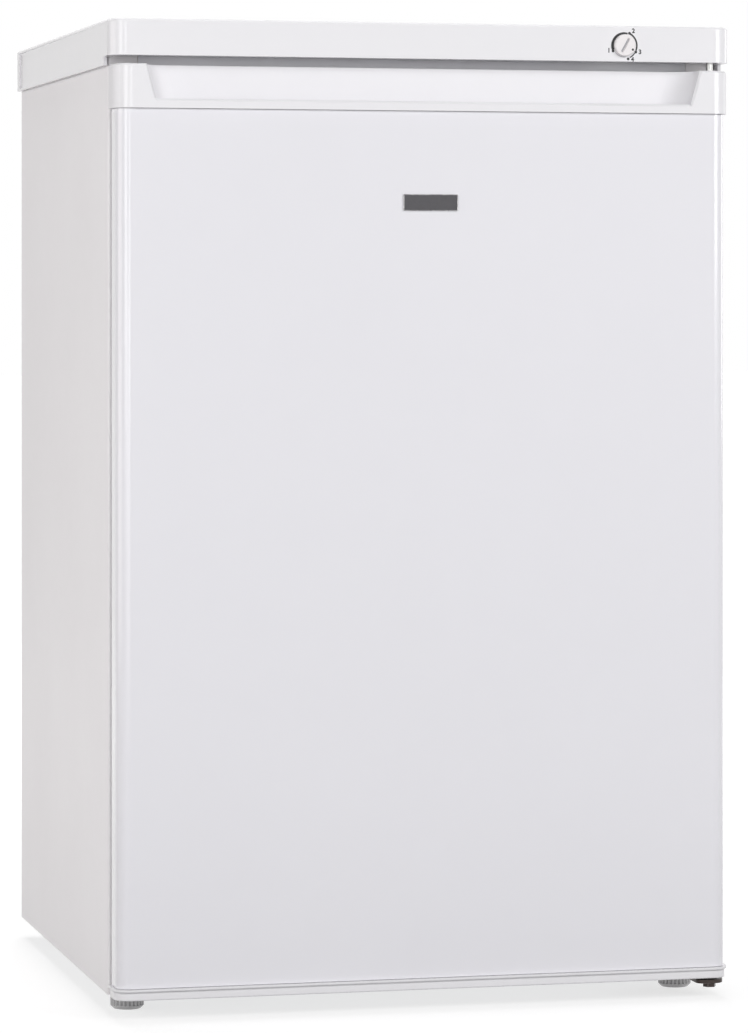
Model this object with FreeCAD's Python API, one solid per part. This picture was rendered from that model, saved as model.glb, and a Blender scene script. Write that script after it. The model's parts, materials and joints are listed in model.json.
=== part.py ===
import FreeCAD, Part
import math
import os

# Upright under-counter freezer: foamed steel cabinet with a moulded worktop, one right-hinged
# door with a grip in its top cap, three drawers on refrigerated shelves, a compressor in a
# niche at the lower back and a wire condenser behind it.
# Millimetres. X to the right, Y from the door towards the wall, Z up, origin on the floor
# below the middle of the whole object.

V = FreeCAD.Vector

# ---- Overall sizes ----
overall_height = 850.0      # floor to worktop
overall_depth = 560.0       # door face to the back of the condenser
worktop_width = 552.0       # the widest piece

# ---- Set-backs from the door's face ----
skin_setback = 3.0          # steel skin behind the caps' faces
worktop_setback = 7.0
cabinet_setback = 43.0      # front edge of the cabinet

# ---- Insets from the worktop's sides ----
cabinet_inset = 4.5
cap_inset = 3.0             # door's caps
skin_inset = 6.0            # door's steel skin

# ---- Clearances ----
seal_gap = 0.3              # gasket to cabinet
seam = 0.4                  # between neighbouring covers
slip = 0.3                  # pieces that slide over or lie beside each other
run_gap = 0.05              # radial gap of a pin in its bore
hole_gap = 0.25             # radial gap of a screw in its hole
weld_gap = 0.1              # welded wires to the tube they cross

# ---- Sheet metal and mouldings ----
steel = 1.0
bend = 1.5
wall = 2.5                  # moulded caps
spigot_wall = 2.0
spigot_reach = 8.0          # how far a cap's spigot goes into the skin

# ---- Cabinet ----
cabinet_bottom = 18.0
worktop_rise = 28.0         # worktop's face above the cabinet's top
condenser_space = 40.0      # behind the cabinet, for the condenser and its draught
front_return = 26.0         # side panel's flange that the seal closes on
rear_return = 12.0
base_flange = 32.0          # front edge of the base plate
rail_height = 42.0          # front rail under the worktop
rail_depth = 32.0

# ---- Compressor niche ----
niche_depth = 168.0         # at the floor
niche_front_height = 222.0  # top of its upright front wall
niche_back_height = 262.0   # top of its sloping roof at the back
niche_slope_run = 150.0

# ---- Inner liner ----
liner = 2.0
side_foam = 50.5            # cabinet's side to the cavity
floor_foam = 56.0
roof_foam = 54.0
rear_foam = 58.0
niche_foam = 52.0           # niche's front to the hump's front
hump_foam = 28.0            # niche's top to the hump's top
cavity_round = 18.0
cavity_side_round = 12.0
ledge_width = 9.0           # shelf ledges moulded into the side walls
ledge_height = 10.0
ledge_margin = 16.0         # from the cavity's mouth and back

# ---- Evaporator shelves ----
shelf_tube_r = 4.0
shelf_bend = 20.0
shelf_runs = 5
shelf_front_gap = 34.0      # cabinet front to the first tube
shelf_back_gap = 20.0
shelf_side_gap = 4.5        # tube bend to the cavity's side
shelf_wire = 3.0            # thickness of the cross wires
shelf_wires = 13
shelf_over_hump = 18.0      # centre of the lower shelf's tube above the hump
shelf_under_roof = 16.0     # centre of the upper shelf's tube below the cavity's roof
tube_sides = 8              # flats on a tube's section
bend_steps = 3              # chords in a quarter bend

# ---- Drawers ----
drawer_wall = 2.5
drawer_gap = 6.0            # to the cavity's sides, at the rim
drawer_draft = 10.0         # how much narrower each side is at the bottom
drawer_round = 14.0
drawer_front_gap = 21.0     # cabinet front to the drawer's front plate
drawer_front_thickness = 5.0
drawer_back_gap = 27.0
drawer_head_gap = 9.0       # drawer rim to the shelf above
drawer_lift = 0.3
rim_width = 5.0
rim_height = 3.0
grip_dip_width = 140.0
grip_dip_depth = 22.0

# ---- Door ----
door_bottom = 18.5
top_gap = 7.5               # between the worktop's skirt and the door
top_cap_height = 37.5
bottom_cap_height = 9.5
cap_depth = 33.3
cap_round = 15.0
skin_round = 11.0
skin_return = 14.0
cap_bevel = 1.5
foot_bevel = 1.6            # the bottom cap's lower part is this much smaller
liner_flange_inset = 5.0    # door liner inside the caps' edge
dyke_side_gap = 21.0        # raised inside of the door to the cavity's sides
dyke_top_gap = 63.0
dyke_bottom_gap = 77.0
dyke_reach = 22.5
dyke_draft = 8.0
dyke_round = 25.0
seal_width = 14.0
seal_inset = 16.0           # from the caps' sides
seal_top_inset = 13.5

# ---- Door grip ----
grip_end = 28.0             # mouth's end, at the top, inside the cap's side
grip_slant = 8.0            # how much further in each end is at the lip
grip_lip = 8.0              # front band under the grip's mouth
grip_lip_thickness = 4.0
grip_depth = 26.0
grip_drop = 5.0             # floor of the grip below its lip
grip_corner = 20.0
grip_bevel = 2.0

# ---- Hinges ----
hinge_inset = 16.0          # axis from the worktop's side
hinge_setback = 20.0        # axis from the door's face
pin_r = 3.0
bush_r = 5.0
bush_flange_r = 7.0
bush_flange = 1.0
bush_length = 16.0
boss_r = 8.0
upper_plate = 3.0
lower_plate = 3.2
lower_plate_drop = 2.0      # tongue's top below the cabinet's bottom
tongue_r = 8.5
pin_head_flats = 10.0
pin_head = 4.4
lower_shank_r = 4.0
upper_plate_left = 44.0     # hinge axis to the plate's left edge
upper_plate_lap = 6.0       # wide part's front edge behind the cabinet's front
upper_plate_back = 50.0     # its back edge behind the cabinet's front
upper_screws = [(-32.0, 17.0), (-32.0, 40.0), (-2.0, 29.0)]  # from hinge axis and cabinet front
lower_plate_left = 70.0     # hinge axis to the plate's left edge
lower_tongue_left = 14.0
lower_tongue_front = 12.0
lower_screws = [-56.0, -36.0, -2.0]  # from the hinge axis

# ---- Worktop ----
skirt_front = 31.0
skirt_side = 38.5
skirt_wall = 3.0
skirt_lip = 5.0
worktop_round = 14.5
worktop_rear_round = 5.0
worktop_bevel = 1.5
skirt_behind_door = 3.7     # front end of the deeper sides behind the door's caps
side_lean = 1.5             # how far the sides lean in on their way to the rear lip
rear_lip = 18.0             # full-width end of the sides
bottom_lip = 2.2            # full-width edge along the sides' bottom
panel_thickness = 16.0
rim_front = 45.0            # width of the frame's flat rim, front
rim_side = 18.0
seat_width = 12.0
rib = 2.5
rib_pitch = 80.0
ribs_in_row = 5
side_rib_first = 50.0       # behind the cabinet's front
rib_to_dial = 58.0          # last front rib to the dial's axis
lug_inset = 96.0            # from the worktop's side
lug_width = 30.0
lug_height = 24.0

# ---- Thermostat ----
dial_inset = 98.0           # from the worktop's right side
dial_drop = 17.0
knob_r = 9.5
knob_thickness = 4.0
knob_hub_r = 5.5
knob_slot = 2.2
knob_slot_angle = 61.0
spindle_r = 3.0
spindle_flat = 1.0
thermostat_width = 40.0
thermostat_height = 21.0
thermostat_depth = 30.0

# ---- Feet ----
foot_inset = 24.0           # from the cabinet's side
foot_setback = 82.0
foot_r = 14.5
foot_flutes = 24
flute_r = 1.3
foot_grip_height = 14.5
foot_hub_r = 9.0
sole_edge = 2.5
stud_r = 5.0
foot_thread = 24.0          # stud above the cabinet's bottom
insert_height = 8.0
rear_foot_r = 14.0
rear_foot_side_inset = 36.5
rear_foot_inset = 22.0

# ---- Compressor and pipes ----
compressor_offset = 95.0
compressor_length = 176.0
compressor_width = 148.0
compressor_lift = 34.0
compressor_height = 148.0
compressor_seam = 76.0      # weld flange above the shell's underside
compressor_inset = 8.0      # shell to the cabinet's back plane
foot_plate = 2.5
grommet_r = 11.0
grommet_hole_r = 4.4
carrier_flange = 12.0
pipe_r = 3.0
suction_r = 4.0
drier_r = 10.0
drier_length = 96.0
drier_lift = 46.0           # drier's lower neck above the carrier
drier_neck = 10.0
drier_inset = 64.0          # condenser's left bends to the drier
capillary_r = 1.2
capillary_drop = 16.0
capillary_side = 24.0
capillary_rise = 60.0
capillary_reach = 30.0      # upright run in front of the niche's wall
suction_side = 26.0         # suction stub from the compressor's middle
suction_rise = 12.0
terminal_width = 54.0
terminal_depth = 34.0
terminal_low = 34.0         # above the shell's underside
terminal_height = 64.0
vent_rib = 3.0
vent_ribs = 5
vent_pitch = 8.0
vent_margin = 10.0
gland_height = 52.0         # above the shell's underside
gland_r = 6.5
gland_flange_r = 8.0
gland_bore_r = 3.6
gland_reach = 14.0

# ---- Condenser ----
condenser_tube_r = 2.5
condenser_wire = 1.5
condenser_top_gap = 90.0    # least height of the cabinet's top above the upper run
condenser_pitch = 62.0
condenser_bottom = 292.0
condenser_bend = 11.0
condenser_foot = 20.0       # riser's joint below the lowest run
condenser_side_gap = 57.5   # cabinet's left side to the bends
riser_inset = 35.5          # from the cabinet's right side
riser_gap = 32.0            # riser to the right bends
condenser_wire_margin = 8.5 # last wire to the bends, at least
condenser_wire_pitch = 13.0
bracket_width = 8.0
clip_r = 4.0

# ---- Fasteners and small seats ----
screw_r = 2.0
screw_head = 3.0
screw_head_flats = 8.0
screw_reach = 14.0          # hole for a screw in the foam
bolt_r = 3.0
peg_r = 5.0                 # rear foot's peg
insert_r = 9.0
riser_depth = 20.0          # evaporator lines in the foam
riser_rise = 16.0
lug_thickness = 3.0
panel_gap = 0.3
bracket_sheet = 1.5         # thermostat's bracket
bracket_front = 11.5        # its face behind the door's face
bracket_height = 22.0
thermostat_bush_r = 5.0
lower_bracket_strip = 23.0
foot_socket = 5.0

# ---- Places that follow from the sizes ----
front = -overall_depth / 2
skin_front = front + skin_setback
cabinet_front = front + cabinet_setback
condenser_back = overall_depth / 2
cabinet_back = condenser_back - condenser_space
worktop_half = worktop_width / 2
worktop_front = front + worktop_setback
cabinet_half = worktop_half - cabinet_inset
cabinet_top = overall_height - worktop_rise
inner_half = cabinet_half - steel
sheet_half = inner_half - bend - slip
door_top = overall_height - skirt_front - top_gap
cap_half = worktop_half - cap_inset
cap_back = front + cap_depth
skin_half = worktop_half - skin_inset
skin_back = cap_back
top_seam = door_top - top_cap_height
bottom_seam = door_bottom + bottom_cap_height
hinge_x = worktop_half - hinge_inset
hinge_y = front + hinge_setback
mouth_half = cabinet_half - front_return
mouth_bottom = cabinet_bottom + base_flange
mouth_top = cabinet_top - rail_height
cavity_half = cabinet_half - side_foam
cavity_bottom = cabinet_bottom + floor_foam
cavity_top = cabinet_top - roof_foam
cavity_back = cabinet_back - rear_foam
niche_front = cabinet_back - niche_depth
hump_front = niche_front - niche_foam
hump_top = niche_back_height + hump_foam
ledge_front = cabinet_front + ledge_margin
ledge_back = cavity_back - cavity_round - 2
lower_shelf = hump_top + shelf_over_hump
upper_shelf = cavity_top - shelf_under_roof
shelf_heights = [lower_shelf, (lower_shelf + upper_shelf) / 2, upper_shelf]
shelf_rise = shelf_tube_r + weld_gap + shelf_wire
compressor_y = cabinet_back - compressor_inset - compressor_width / 2
condenser_y = condenser_back - condenser_wire - weld_gap - condenser_tube_r
liner_front = cap_back + 0.2
liner_back = liner_front + liner
foot_x = cabinet_half - foot_inset
foot_y = front + foot_setback
rear_foot_x = cabinet_half - rear_foot_side_inset
rear_foot_y = cabinet_back - rear_foot_inset
dial_x = worktop_half - dial_inset
dial_z = overall_height - dial_drop
riser_x = cabinet_half - riser_inset
condenser_left = condenser_side_gap - cabinet_half
drier_x = condenser_left + drier_inset
condenser_right = riser_x - riser_gap
condenser_runs = int((cabinet_top - condenser_top_gap - condenser_bottom) // condenser_pitch) + 1
wires_each_side = int((condenser_right - condenser_wire_margin) // condenser_wire_pitch)
bracket_x = condenser_wire_pitch * (wires_each_side - 0.5)
carrier_top = cabinet_bottom + steel


# ---- Plane geometry ----

def in_space(plane, u, v, w):
    """Point (u, v) of a named plane, at w along the plane's normal."""
    if plane == "XY":
        return V(u, v, w)
    if plane == "XZ":
        return V(u, w, v)
    return V(w, u, v)


def outline(plane, corners, at):
    """Closed wire through (u, v, radius) corners, each rounded by a tangent arc."""
    count = len(corners)
    points = [V(u, v, 0) for u, v, _ in corners]
    spans = [(points[(i + 1) % count] - points[i]).Length for i in range(count)]
    arcs = []
    for i in range(count):
        here, radius = points[i], corners[i][2]
        back = (points[i - 1] - here).normalize()
        ahead = (points[(i + 1) % count] - here).normalize()
        if radius <= 0:
            arcs.append((here, None, here))
            continue
        half = back.getAngle(ahead) / 2
        reach = min(radius / math.tan(half), spans[i - 1] / 2, spans[i] / 2)
        fitted = reach * math.tan(half)
        middle = here + (back + ahead).normalize() * (fitted / math.sin(half) - fitted)
        arcs.append((here + back * reach, middle, here + ahead * reach))
    edges = []
    for i, (start, middle, end) in enumerate(arcs):
        if middle is not None:
            bend_points = [in_space(plane, p.x, p.y, at) for p in (start, middle, end)]
            edges.append(Part.Arc(*bend_points).toShape())
        following = arcs[(i + 1) % count][0]
        if (following - end).Length > 1e-6:
            here, there = in_space(plane, end.x, end.y, at), in_space(plane, following.x, following.y, at)
            edges.append(Part.LineSegment(here, there).toShape())
    return Part.Wire(edges)


def rect(u0, u1, v0, v1, *radii):
    """Corners of a rectangle; one radius for all, or four from (u0, v0) anticlockwise."""
    around = radii * 4 if len(radii) == 1 else radii
    return [(u0, v0, around[0]), (u1, v0, around[1]), (u1, v1, around[2]), (u0, v1, around[3])]


def prism(plane, corners, start, end):
    """Solid with a constant section, from start to end along the plane's normal."""
    along = in_space(plane, 0, 0, end - start)
    return Part.Face(outline(plane, corners, start)).extrude(along)


def loft(plane, first, start, last, end):
    """Straight-sided solid between two outlines with the same number of corners."""
    return Part.makeLoft([outline(plane, first, start), outline(plane, last, end)], True, True)


def drafted(plane, low, start, high, end, radius):
    """Solid between two rectangles (u0, u1, v0, v1), its four slanted edges rounded."""
    (u0, u1, v0, v1), (p0, p1, q0, q1) = low, high
    if plane == "XZ":
        solid = Part.makeWedge(u0, start, v0, q0, p0, u1, end, v1, q1, p1)
    else:
        solid = Part.makeWedge(u0, start, -v1, -q1, p0, u1, end, -v0, -q0, p1)
        solid.rotate(V(0, 0, 0), V(1, 0, 0), 90)
    normal = in_space(plane, 0, 0, 1)

    def is_slanted(edge):
        here, there = [vertex.Point for vertex in edge.Vertexes]
        return abs((there - here).dot(normal)) > 0.01

    return solid.makeFillet(radius, [edge for edge in solid.Edges if is_slanted(edge)])


def block(x0, x1, y0, y1, z0, z1):
    return Part.makeBox(x1 - x0, y1 - y0, z1 - z0, V(x0, y0, z0))


def rod(radius, x, y, z0, z1):
    """Upright cylinder."""
    return Part.makeCylinder(radius, z1 - z0, V(x, y, z0))


def rod_y(radius, x, z, y0, y1):
    """Cylinder along Y."""
    return Part.makeCylinder(radius, y1 - y0, V(x, y0, z), V(0, 1, 0))


def turned(profile, x, y):
    """Solid of revolution about an upright axis, from (radius, height) corners."""
    face = Part.Face(outline("XZ", [(r, z, rounding) for r, z, rounding in profile], 0))
    solid = face.revolve(V(0, 0, 0), V(0, 0, 1), 360)
    solid.translate(V(x, y, 0))
    return solid


def polygon_bar(sides, across, start, end):
    """Bar of a regular polygon, across flats wide, between two points."""
    direction = end - start
    radius = across / 2 / math.cos(math.pi / sides)
    helper = V(0, 0, 1) if abs(direction.z) < 0.9 * direction.Length else V(1, 0, 0)
    side_one = direction.cross(helper).normalize()
    side_two = direction.cross(side_one).normalize()
    ring = []
    for k in range(sides + 1):
        turn = 2 * math.pi * (k % sides + 0.5) / sides
        ring.append(start + side_one * (radius * math.cos(turn)) + side_two * (radius * math.sin(turn)))
    return Part.Face(Part.makePolygon(ring)).extrude(direction)


def sheet(plane, path, thickness, inside, start, end):
    """Bent sheet: its section lies to the left of the path and runs from start to end.

    inside is the inner radius of every bend, or a list with one for each point of the path.
    """
    points = [V(u, v, 0) for u, v in path]
    bends = inside if isinstance(inside, list) else [inside] * len(path)
    ways = [(b - a).normalize() for a, b in zip(points, points[1:])]
    lefts = [V(-way.y, way.x, 0) for way in ways]
    near, far = [], []
    for i, point in enumerate(points):
        if i in (0, len(points) - 1):
            left = lefts[0] if i == 0 else lefts[-1]
            near.append((point.x, point.y, 0))
            far.append((point.x + left.x * thickness, point.y + left.y * thickness, 0))
            continue
        mitre = (lefts[i - 1] + lefts[i]) * (thickness / (1 + lefts[i - 1].dot(lefts[i])))
        turns_left = ways[i - 1].cross(ways[i]).z > 0
        near_round = bends[i] + thickness if turns_left else bends[i]
        far_round = bends[i] if turns_left else bends[i] + thickness
        near.append((point.x, point.y, near_round))
        far.append((point.x + mitre.x, point.y + mitre.y, far_round))
    return prism(plane, near + far[::-1], start, end)


def bent_points(points, radius):
    """The points of a pipe's centre line, each bend as a few equal chords."""
    way = [V(*p) for p in points]
    line = [way[0]]
    for before, here, after in zip(way, way[1:], way[2:]):
        back = (before - here).normalize()
        ahead = (after - here).normalize()
        half = back.getAngle(ahead) / 2
        reach = radius / math.tan(half)
        centre = here + (back + ahead).normalize() * (radius / math.sin(half))
        start = here + back * reach - centre
        end = here + ahead * reach - centre
        normal = start.cross(end).normalize()
        sweep = math.pi - 2 * half
        steps = max(2, math.ceil(bend_steps * sweep / (math.pi / 2)))
        for k in range(steps + 1):
            turned_by = FreeCAD.Rotation(normal, math.degrees(sweep) * k / steps)
            point = centre + turned_by.multVec(start)
            if (point - line[-1]).Length > 1e-4:
                line.append(point)
    if (way[-1] - line[-1]).Length > 1e-4:
        line.append(way[-1])
    return line


def pipe(points, radius, bend_radius, sides=0):
    """Solid pipe along a line of straight runs and mitred bends."""
    line = bent_points(points, bend_radius)
    sides = sides or tube_sides
    direction = (line[1] - line[0]).normalize()
    helper = V(0, 0, 1) if abs(direction.z) < 0.9 else V(0, 1, 0)
    side_one = direction.cross(helper).normalize()
    side_two = direction.cross(side_one).normalize()
    ring = []
    for k in range(sides + 1):
        turn = 2 * math.pi * (k % sides + 0.5) / sides
        ring.append(line[0] + side_one * (radius * math.cos(turn)) + side_two * (radius * math.sin(turn)))
    spine = Part.makePolygon(line)
    shell = Part.BRepOffsetAPI.MakePipeShell(spine)
    shell.setTransitionMode(1)
    shell.add(Part.makePolygon(ring), False, False)
    shell.build()
    shell.makeSolid()
    return shell.shape()


def fused(shapes):
    """One solid from several that overlap."""
    first, *rest = shapes
    return first.multiFuse(rest).removeSplitter()


def mirrored(shape):
    return shape.mirror(V(0, 0, 0), V(1, 0, 0))


def edges_where(shape, test):
    """Edges whose two ends and middle all pass a test on their point."""
    chosen = []
    for edge in shape.Edges:
        low, high = edge.ParameterRange
        if all(test(edge.valueAt(p)) for p in (low, (low + high) / 2, high)):
            chosen.append(edge)
    return chosen


def save(node, *solids):
    """Write one sub-part: a single solid, or a group of separate ones."""
    shape = solids[0] if len(solids) == 1 else Part.makeCompound(list(solids))
    shape.exportStep(f"parts/{node}.step")


# ---- Cabinet shell ----

def side_panel():
    """Left side: one sheet with a front flange for the seal and a rear flange."""
    path = [
        (-cabinet_half + rear_return, cabinet_back),
        (-cabinet_half, cabinet_back),
        (-cabinet_half, cabinet_front),
        (-mouth_half, cabinet_front),
    ]
    return sheet("XY", path, steel, bend, cabinet_bottom, cabinet_top - steel)


def beside_flanges(shape, low, high):
    """Cut a cross sheet back where the side panels' front flanges stand."""
    for side in (-1, 1):
        x0, x1 = sorted((side * (mouth_half - slip), side * (cabinet_half + 1)))
        shape = shape.cut(block(x0, x1, cabinet_front - 1, cabinet_front + steel + slip, low, high))
    return shape


def base_plate():
    """Floor of the foamed part, with a front flange and the holes for studs and screws."""
    edge = (niche_front + steel, cabinet_bottom)
    path = [(cabinet_front, mouth_bottom), (cabinet_front, cabinet_bottom), edge]
    plate = sheet("YZ", path, steel, bend, -sheet_half, sheet_half)
    plate = beside_flanges(plate, cabinet_bottom - 1, mouth_bottom + 1)
    for side in (-1, 1):
        plate = plate.cut(rod(stud_r + 2 * hole_gap, side * foot_x, foot_y, 0, cabinet_bottom + 5))
    for x, y in lower_screw_places():
        plate = plate.cut(rod(screw_r + hole_gap, x, y, 0, cabinet_bottom + 5))
    return plate


def top_front_rail():
    """Rail across the front of the top; it carries the upper hinge and the thermostat."""
    edge = (cabinet_front + rail_depth, cabinet_top)
    path = [edge, (cabinet_front, cabinet_top), (cabinet_front, mouth_top)]
    rail = sheet("YZ", path, steel, bend, -cabinet_half, cabinet_half)
    rail = beside_flanges(rail, mouth_top - 1, cabinet_top - steel)
    for x, y in upper_screw_places() + [bracket_screw_place()]:
        rail = rail.cut(rod(screw_r + hole_gap, x, y, cabinet_top - 5, cabinet_top + 5))
    return rail


def top_panel():
    """Sheet that closes the foam behind the rail."""
    y0 = cabinet_front + rail_depth + slip
    plan = rect(-cabinet_half, cabinet_half, y0, cabinet_back - steel, 0)
    panel = prism("XY", plan, cabinet_top - steel, cabinet_top)
    for x, y in upper_screw_places():
        if y > y0:
            panel = panel.cut(rod(screw_r + hole_gap, x, y, cabinet_top - 5, cabinet_top + 5))
    return panel


def niche_line(grow):
    """Niche section from its back top corner to the floor, moved outward by grow."""
    slope_y = cabinet_back - niche_slope_run
    return [
        (cabinet_back - steel, niche_back_height + grow),
        (slope_y - grow * 0.4, niche_front_height + grow),
        (niche_front - grow, niche_front_height - (slope_y - niche_front) + grow * 0.4),
        (niche_front - grow, carrier_top),
    ]


def back_panel():
    """Rear sheet that steps forward over the compressor niche in one piece."""
    path = niche_line(0)[::-1] + [(cabinet_back - steel, cabinet_top - steel - slip)]
    panel = sheet("YZ", path, steel, 3 * bend, -sheet_half, sheet_half)
    for x, z in bracket_places() + lug_places():
        panel = panel.cut(rod_y(screw_r + hole_gap, x, z, cabinet_back - 5, cabinet_back + 5))
    return panel


def compressor_carrier():
    """Channel across the niche's floor that carries the compressor and the rear feet."""
    y0, y1 = niche_front + steel + 2 * slip, cabinet_back - steel - slip
    top = cabinet_bottom + carrier_flange
    path = [(y0, top), (y0, cabinet_bottom), (y1, cabinet_bottom), (y1, top)]
    carrier = sheet("YZ", path, steel, bend, -sheet_half, sheet_half)
    for x, y in grommet_places():
        carrier = carrier.cut(rod(bolt_r + hole_gap, x, y, 0, carrier_top + 2))
    for side in (-1, 1):
        carrier = carrier.cut(rod(peg_r + run_gap, side * rear_foot_x, rear_foot_y, 0, carrier_top + 2))
    return carrier


# ---- Liner and foam ----

def cavity_section(grow):
    """Side section of the freezing space, moved outward by grow."""
    convex, concave = cavity_round + grow, max(cavity_round - grow, 1)
    return [
        (cabinet_front, cavity_bottom - grow, 0),
        (hump_front + grow, cavity_bottom - grow, convex),
        (hump_front + grow, hump_top - grow, concave),
        (cavity_back + grow, hump_top - grow, convex),
        (cavity_back + grow, cavity_top + grow, convex),
        (cabinet_front, cavity_top + grow, 0),
    ]


def square_cavity(grow):
    """The freezing space with square edges, but for the inner corner over the hump."""
    half = cavity_half + grow
    corners = [(y, z, rounding if cavity_bottom < z < hump_top and y < cavity_back else 0)
               for y, z, rounding in cavity_section(grow)]
    return prism("YZ", corners, -half, half)


def cavity(grow):
    """The freezing space as a solid, with its long edges rounded as a vacuum-formed liner has them."""
    half = cavity_half + grow
    space = prism("YZ", cavity_section(grow), -half, half)

    def on_side(point):
        return abs(abs(point.x) - half) < 0.01

    edges = [e for e in edges_where(space, on_side) if e.BoundBox.YMax > cabinet_front + 1]
    return space.makeFillet(cavity_side_round + grow, edges)


def ledge(height):
    """Pair of shelf ledges on the side walls, top face at the tube's underside."""
    top = height - shelf_tube_r
    inner = cavity_half - ledge_width
    corners = [
        (cavity_half + liner / 2, top, 0),
        (inner, top, 2),
        (inner, top - ledge_height * 0.45, 2),
        (cavity_half + liner / 2, top - ledge_height, 0),
    ]
    right = prism("XZ", corners, ledge_front, ledge_back)
    return [right, mirrored(right)]


def inner_liner():
    """Thermoformed liner: stepped tub, front flange and shelf ledges in one piece."""
    around = rect(-mouth_half + slip, mouth_half - slip, mouth_bottom + slip, mouth_top - slip, 0)
    flange = prism("XZ", around, cabinet_front, cabinet_front + liner)
    pieces = [cavity(liner), flange]
    for height in shelf_heights:
        pieces += ledge(height)
    tub = fused(pieces)
    inside = cavity(0)
    for height in shelf_heights:
        inside = inside.cut(Part.makeCompound(ledge(height)))
    tub = tub.cut(inside)
    for x, z in riser_exits():
        tub = tub.cut(rod_y(shelf_tube_r + hole_gap, x, z, cavity_back - 5, cavity_back + 10))
    return tub


def cabinet_insulation():
    """Foam that fills the space between the steel shell and the liner."""
    foam = block(-inner_half + slip, inner_half - slip, cabinet_front + liner + slip,
                 cabinet_back - 2 * steel - slip, cabinet_bottom + steel + slip, cabinet_top - steel - slip)
    foam = foam.cut(square_cavity(liner + slip))
    niche = [(cabinet_back + 5, cabinet_bottom - 5)] + [
        (cabinet_back + 5, niche_back_height + steel + 2 * slip + 3)] + niche_line(steel + slip)[1:3] + [
        (niche_front - steel - slip, cabinet_bottom - 5)]
    foam = foam.cut(prism("YZ", [(y, z, 0) for y, z in niche], -cabinet_half, cabinet_half))
    for side in (-1, 1):
        x0, x1 = sorted((side * (mouth_half - slip), side * cabinet_half))
        foam = foam.cut(block(x0, x1, cabinet_front, cabinet_front + steel + 2 * slip, 0, cabinet_top))
        foam = foam.cut(rod(insert_r + slip, side * foot_x, foot_y, 0,
                            cabinet_bottom + foot_thread + 2))
    for x, y in lower_screw_places():
        foam = foam.cut(rod(screw_r + hole_gap, x, y, 0, cabinet_bottom + screw_reach))
    for x, y in upper_screw_places() + [bracket_screw_place()]:
        foam = foam.cut(rod(screw_r + hole_gap, x, y, cabinet_top - screw_reach, cabinet_top))
    for x, z in bracket_places() + lug_places():
        foam = foam.cut(rod_y(screw_r + hole_gap, x, z, cabinet_back - screw_reach, cabinet_back))
    for x, z in riser_exits():
        foam = foam.cut(rod_y(shelf_tube_r + 2 * hole_gap, x, z, cavity_back, cavity_back + riser_depth + 2))
    return foam


# ---- Screws ----


def screw(head_at, direction, reach=0.0):
    """Hexagon-head screw; head_at is the seat under its head, direction the way it goes in."""
    reach = reach or screw_reach - 3
    head = polygon_bar(6, screw_head_flats, head_at - direction * screw_head, head_at)
    across = 2 * screw_r * math.cos(math.pi / 8)
    shank = polygon_bar(8, across, head_at - direction, head_at + direction * reach)
    return head.fuse(shank).removeSplitter()


def upper_screw_places():
    return [(hinge_x + across, cabinet_front + behind) for across, behind in upper_screws]


def lower_screw_places():
    y = cabinet_front + lower_bracket_strip / 2
    return [(hinge_x + across, y) for across in lower_screws]


def bracket_screw_place():
    return (dial_x, cabinet_front + rail_depth / 2 + 6)


def lug_places():
    return [(side * (worktop_half - lug_inset), cabinet_top - 10) for side in (-1, 1)]


def hinge_screws():
    tops = [screw(V(x, y, cabinet_top + upper_plate), V(0, 0, -1)) for x, y in upper_screw_places()]
    seat = cabinet_bottom - lower_plate
    bottoms = [screw(V(x, y, seat), V(0, 0, 1)) for x, y in lower_screw_places()]
    return tops + bottoms


def cabinet_screws():
    """Screws of the worktop's lugs, the condenser's brackets and the thermostat's bracket."""
    x, y = bracket_screw_place()
    screws = [screw(V(x, y, cabinet_top + bracket_sheet), V(0, 0, -1))]
    for x, z in lug_places() + bracket_places():
        screws.append(screw(V(x, cabinet_back - steel + lug_thickness, z), V(0, -1, 0)))
    return screws


# ---- Shelves ----

def shelf_span():
    """First and last tube of a shelf, front to back."""
    return cabinet_front + shelf_front_gap, cavity_back - shelf_back_gap


def evaporator_shelf(height):
    """Shelf that freezes: a serpentine tube with a grid of cross wires welded on it."""
    first, last = shelf_span()
    pitch = (last - first) / (shelf_runs - 1)
    half = cavity_half - shelf_side_gap - shelf_tube_r
    points = []
    for run in range(shelf_runs):
        y = first + run * pitch
        near, far = (-half, half) if run % 2 else (half, -half)
        points += [(near, y, height), (far, y, height)]
    points[0] = (half - 10, first, height)
    tube = pipe(points, shelf_tube_r, shelf_bend)
    top = height + shelf_tube_r + weld_gap + shelf_wire / 2
    bars = []
    for k in range(shelf_wires):
        x = shelf_wire_x(k)
        bars.append(polygon_bar(6, shelf_wire, V(x, first - 8, top), V(x, last + 8, top)))
    end = shelf_wire_x(shelf_wires - 1) + 4
    for y in (first - 8, last + 8):
        bars.append(polygon_bar(6, shelf_wire, V(-end, y, top), V(end, y, top)))
    return tube, fused(bars)


def shelf_wire_x(k):
    """Where a cross wire lies; a half number is midway between two wires."""
    reach = cavity_half - shelf_side_gap - shelf_tube_r - 8
    return -reach + 2 * reach * k / (shelf_wires - 1)


def riser_exits():
    """Where refrigerant enters and leaves through the liner's back wall."""
    return [(shelf_wire_x(1.5), shelf_heights[0] + riser_rise + 20),
            (shelf_wire_x(shelf_wires - 2.5), shelf_heights[-1] - riser_rise - 20)]


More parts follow.
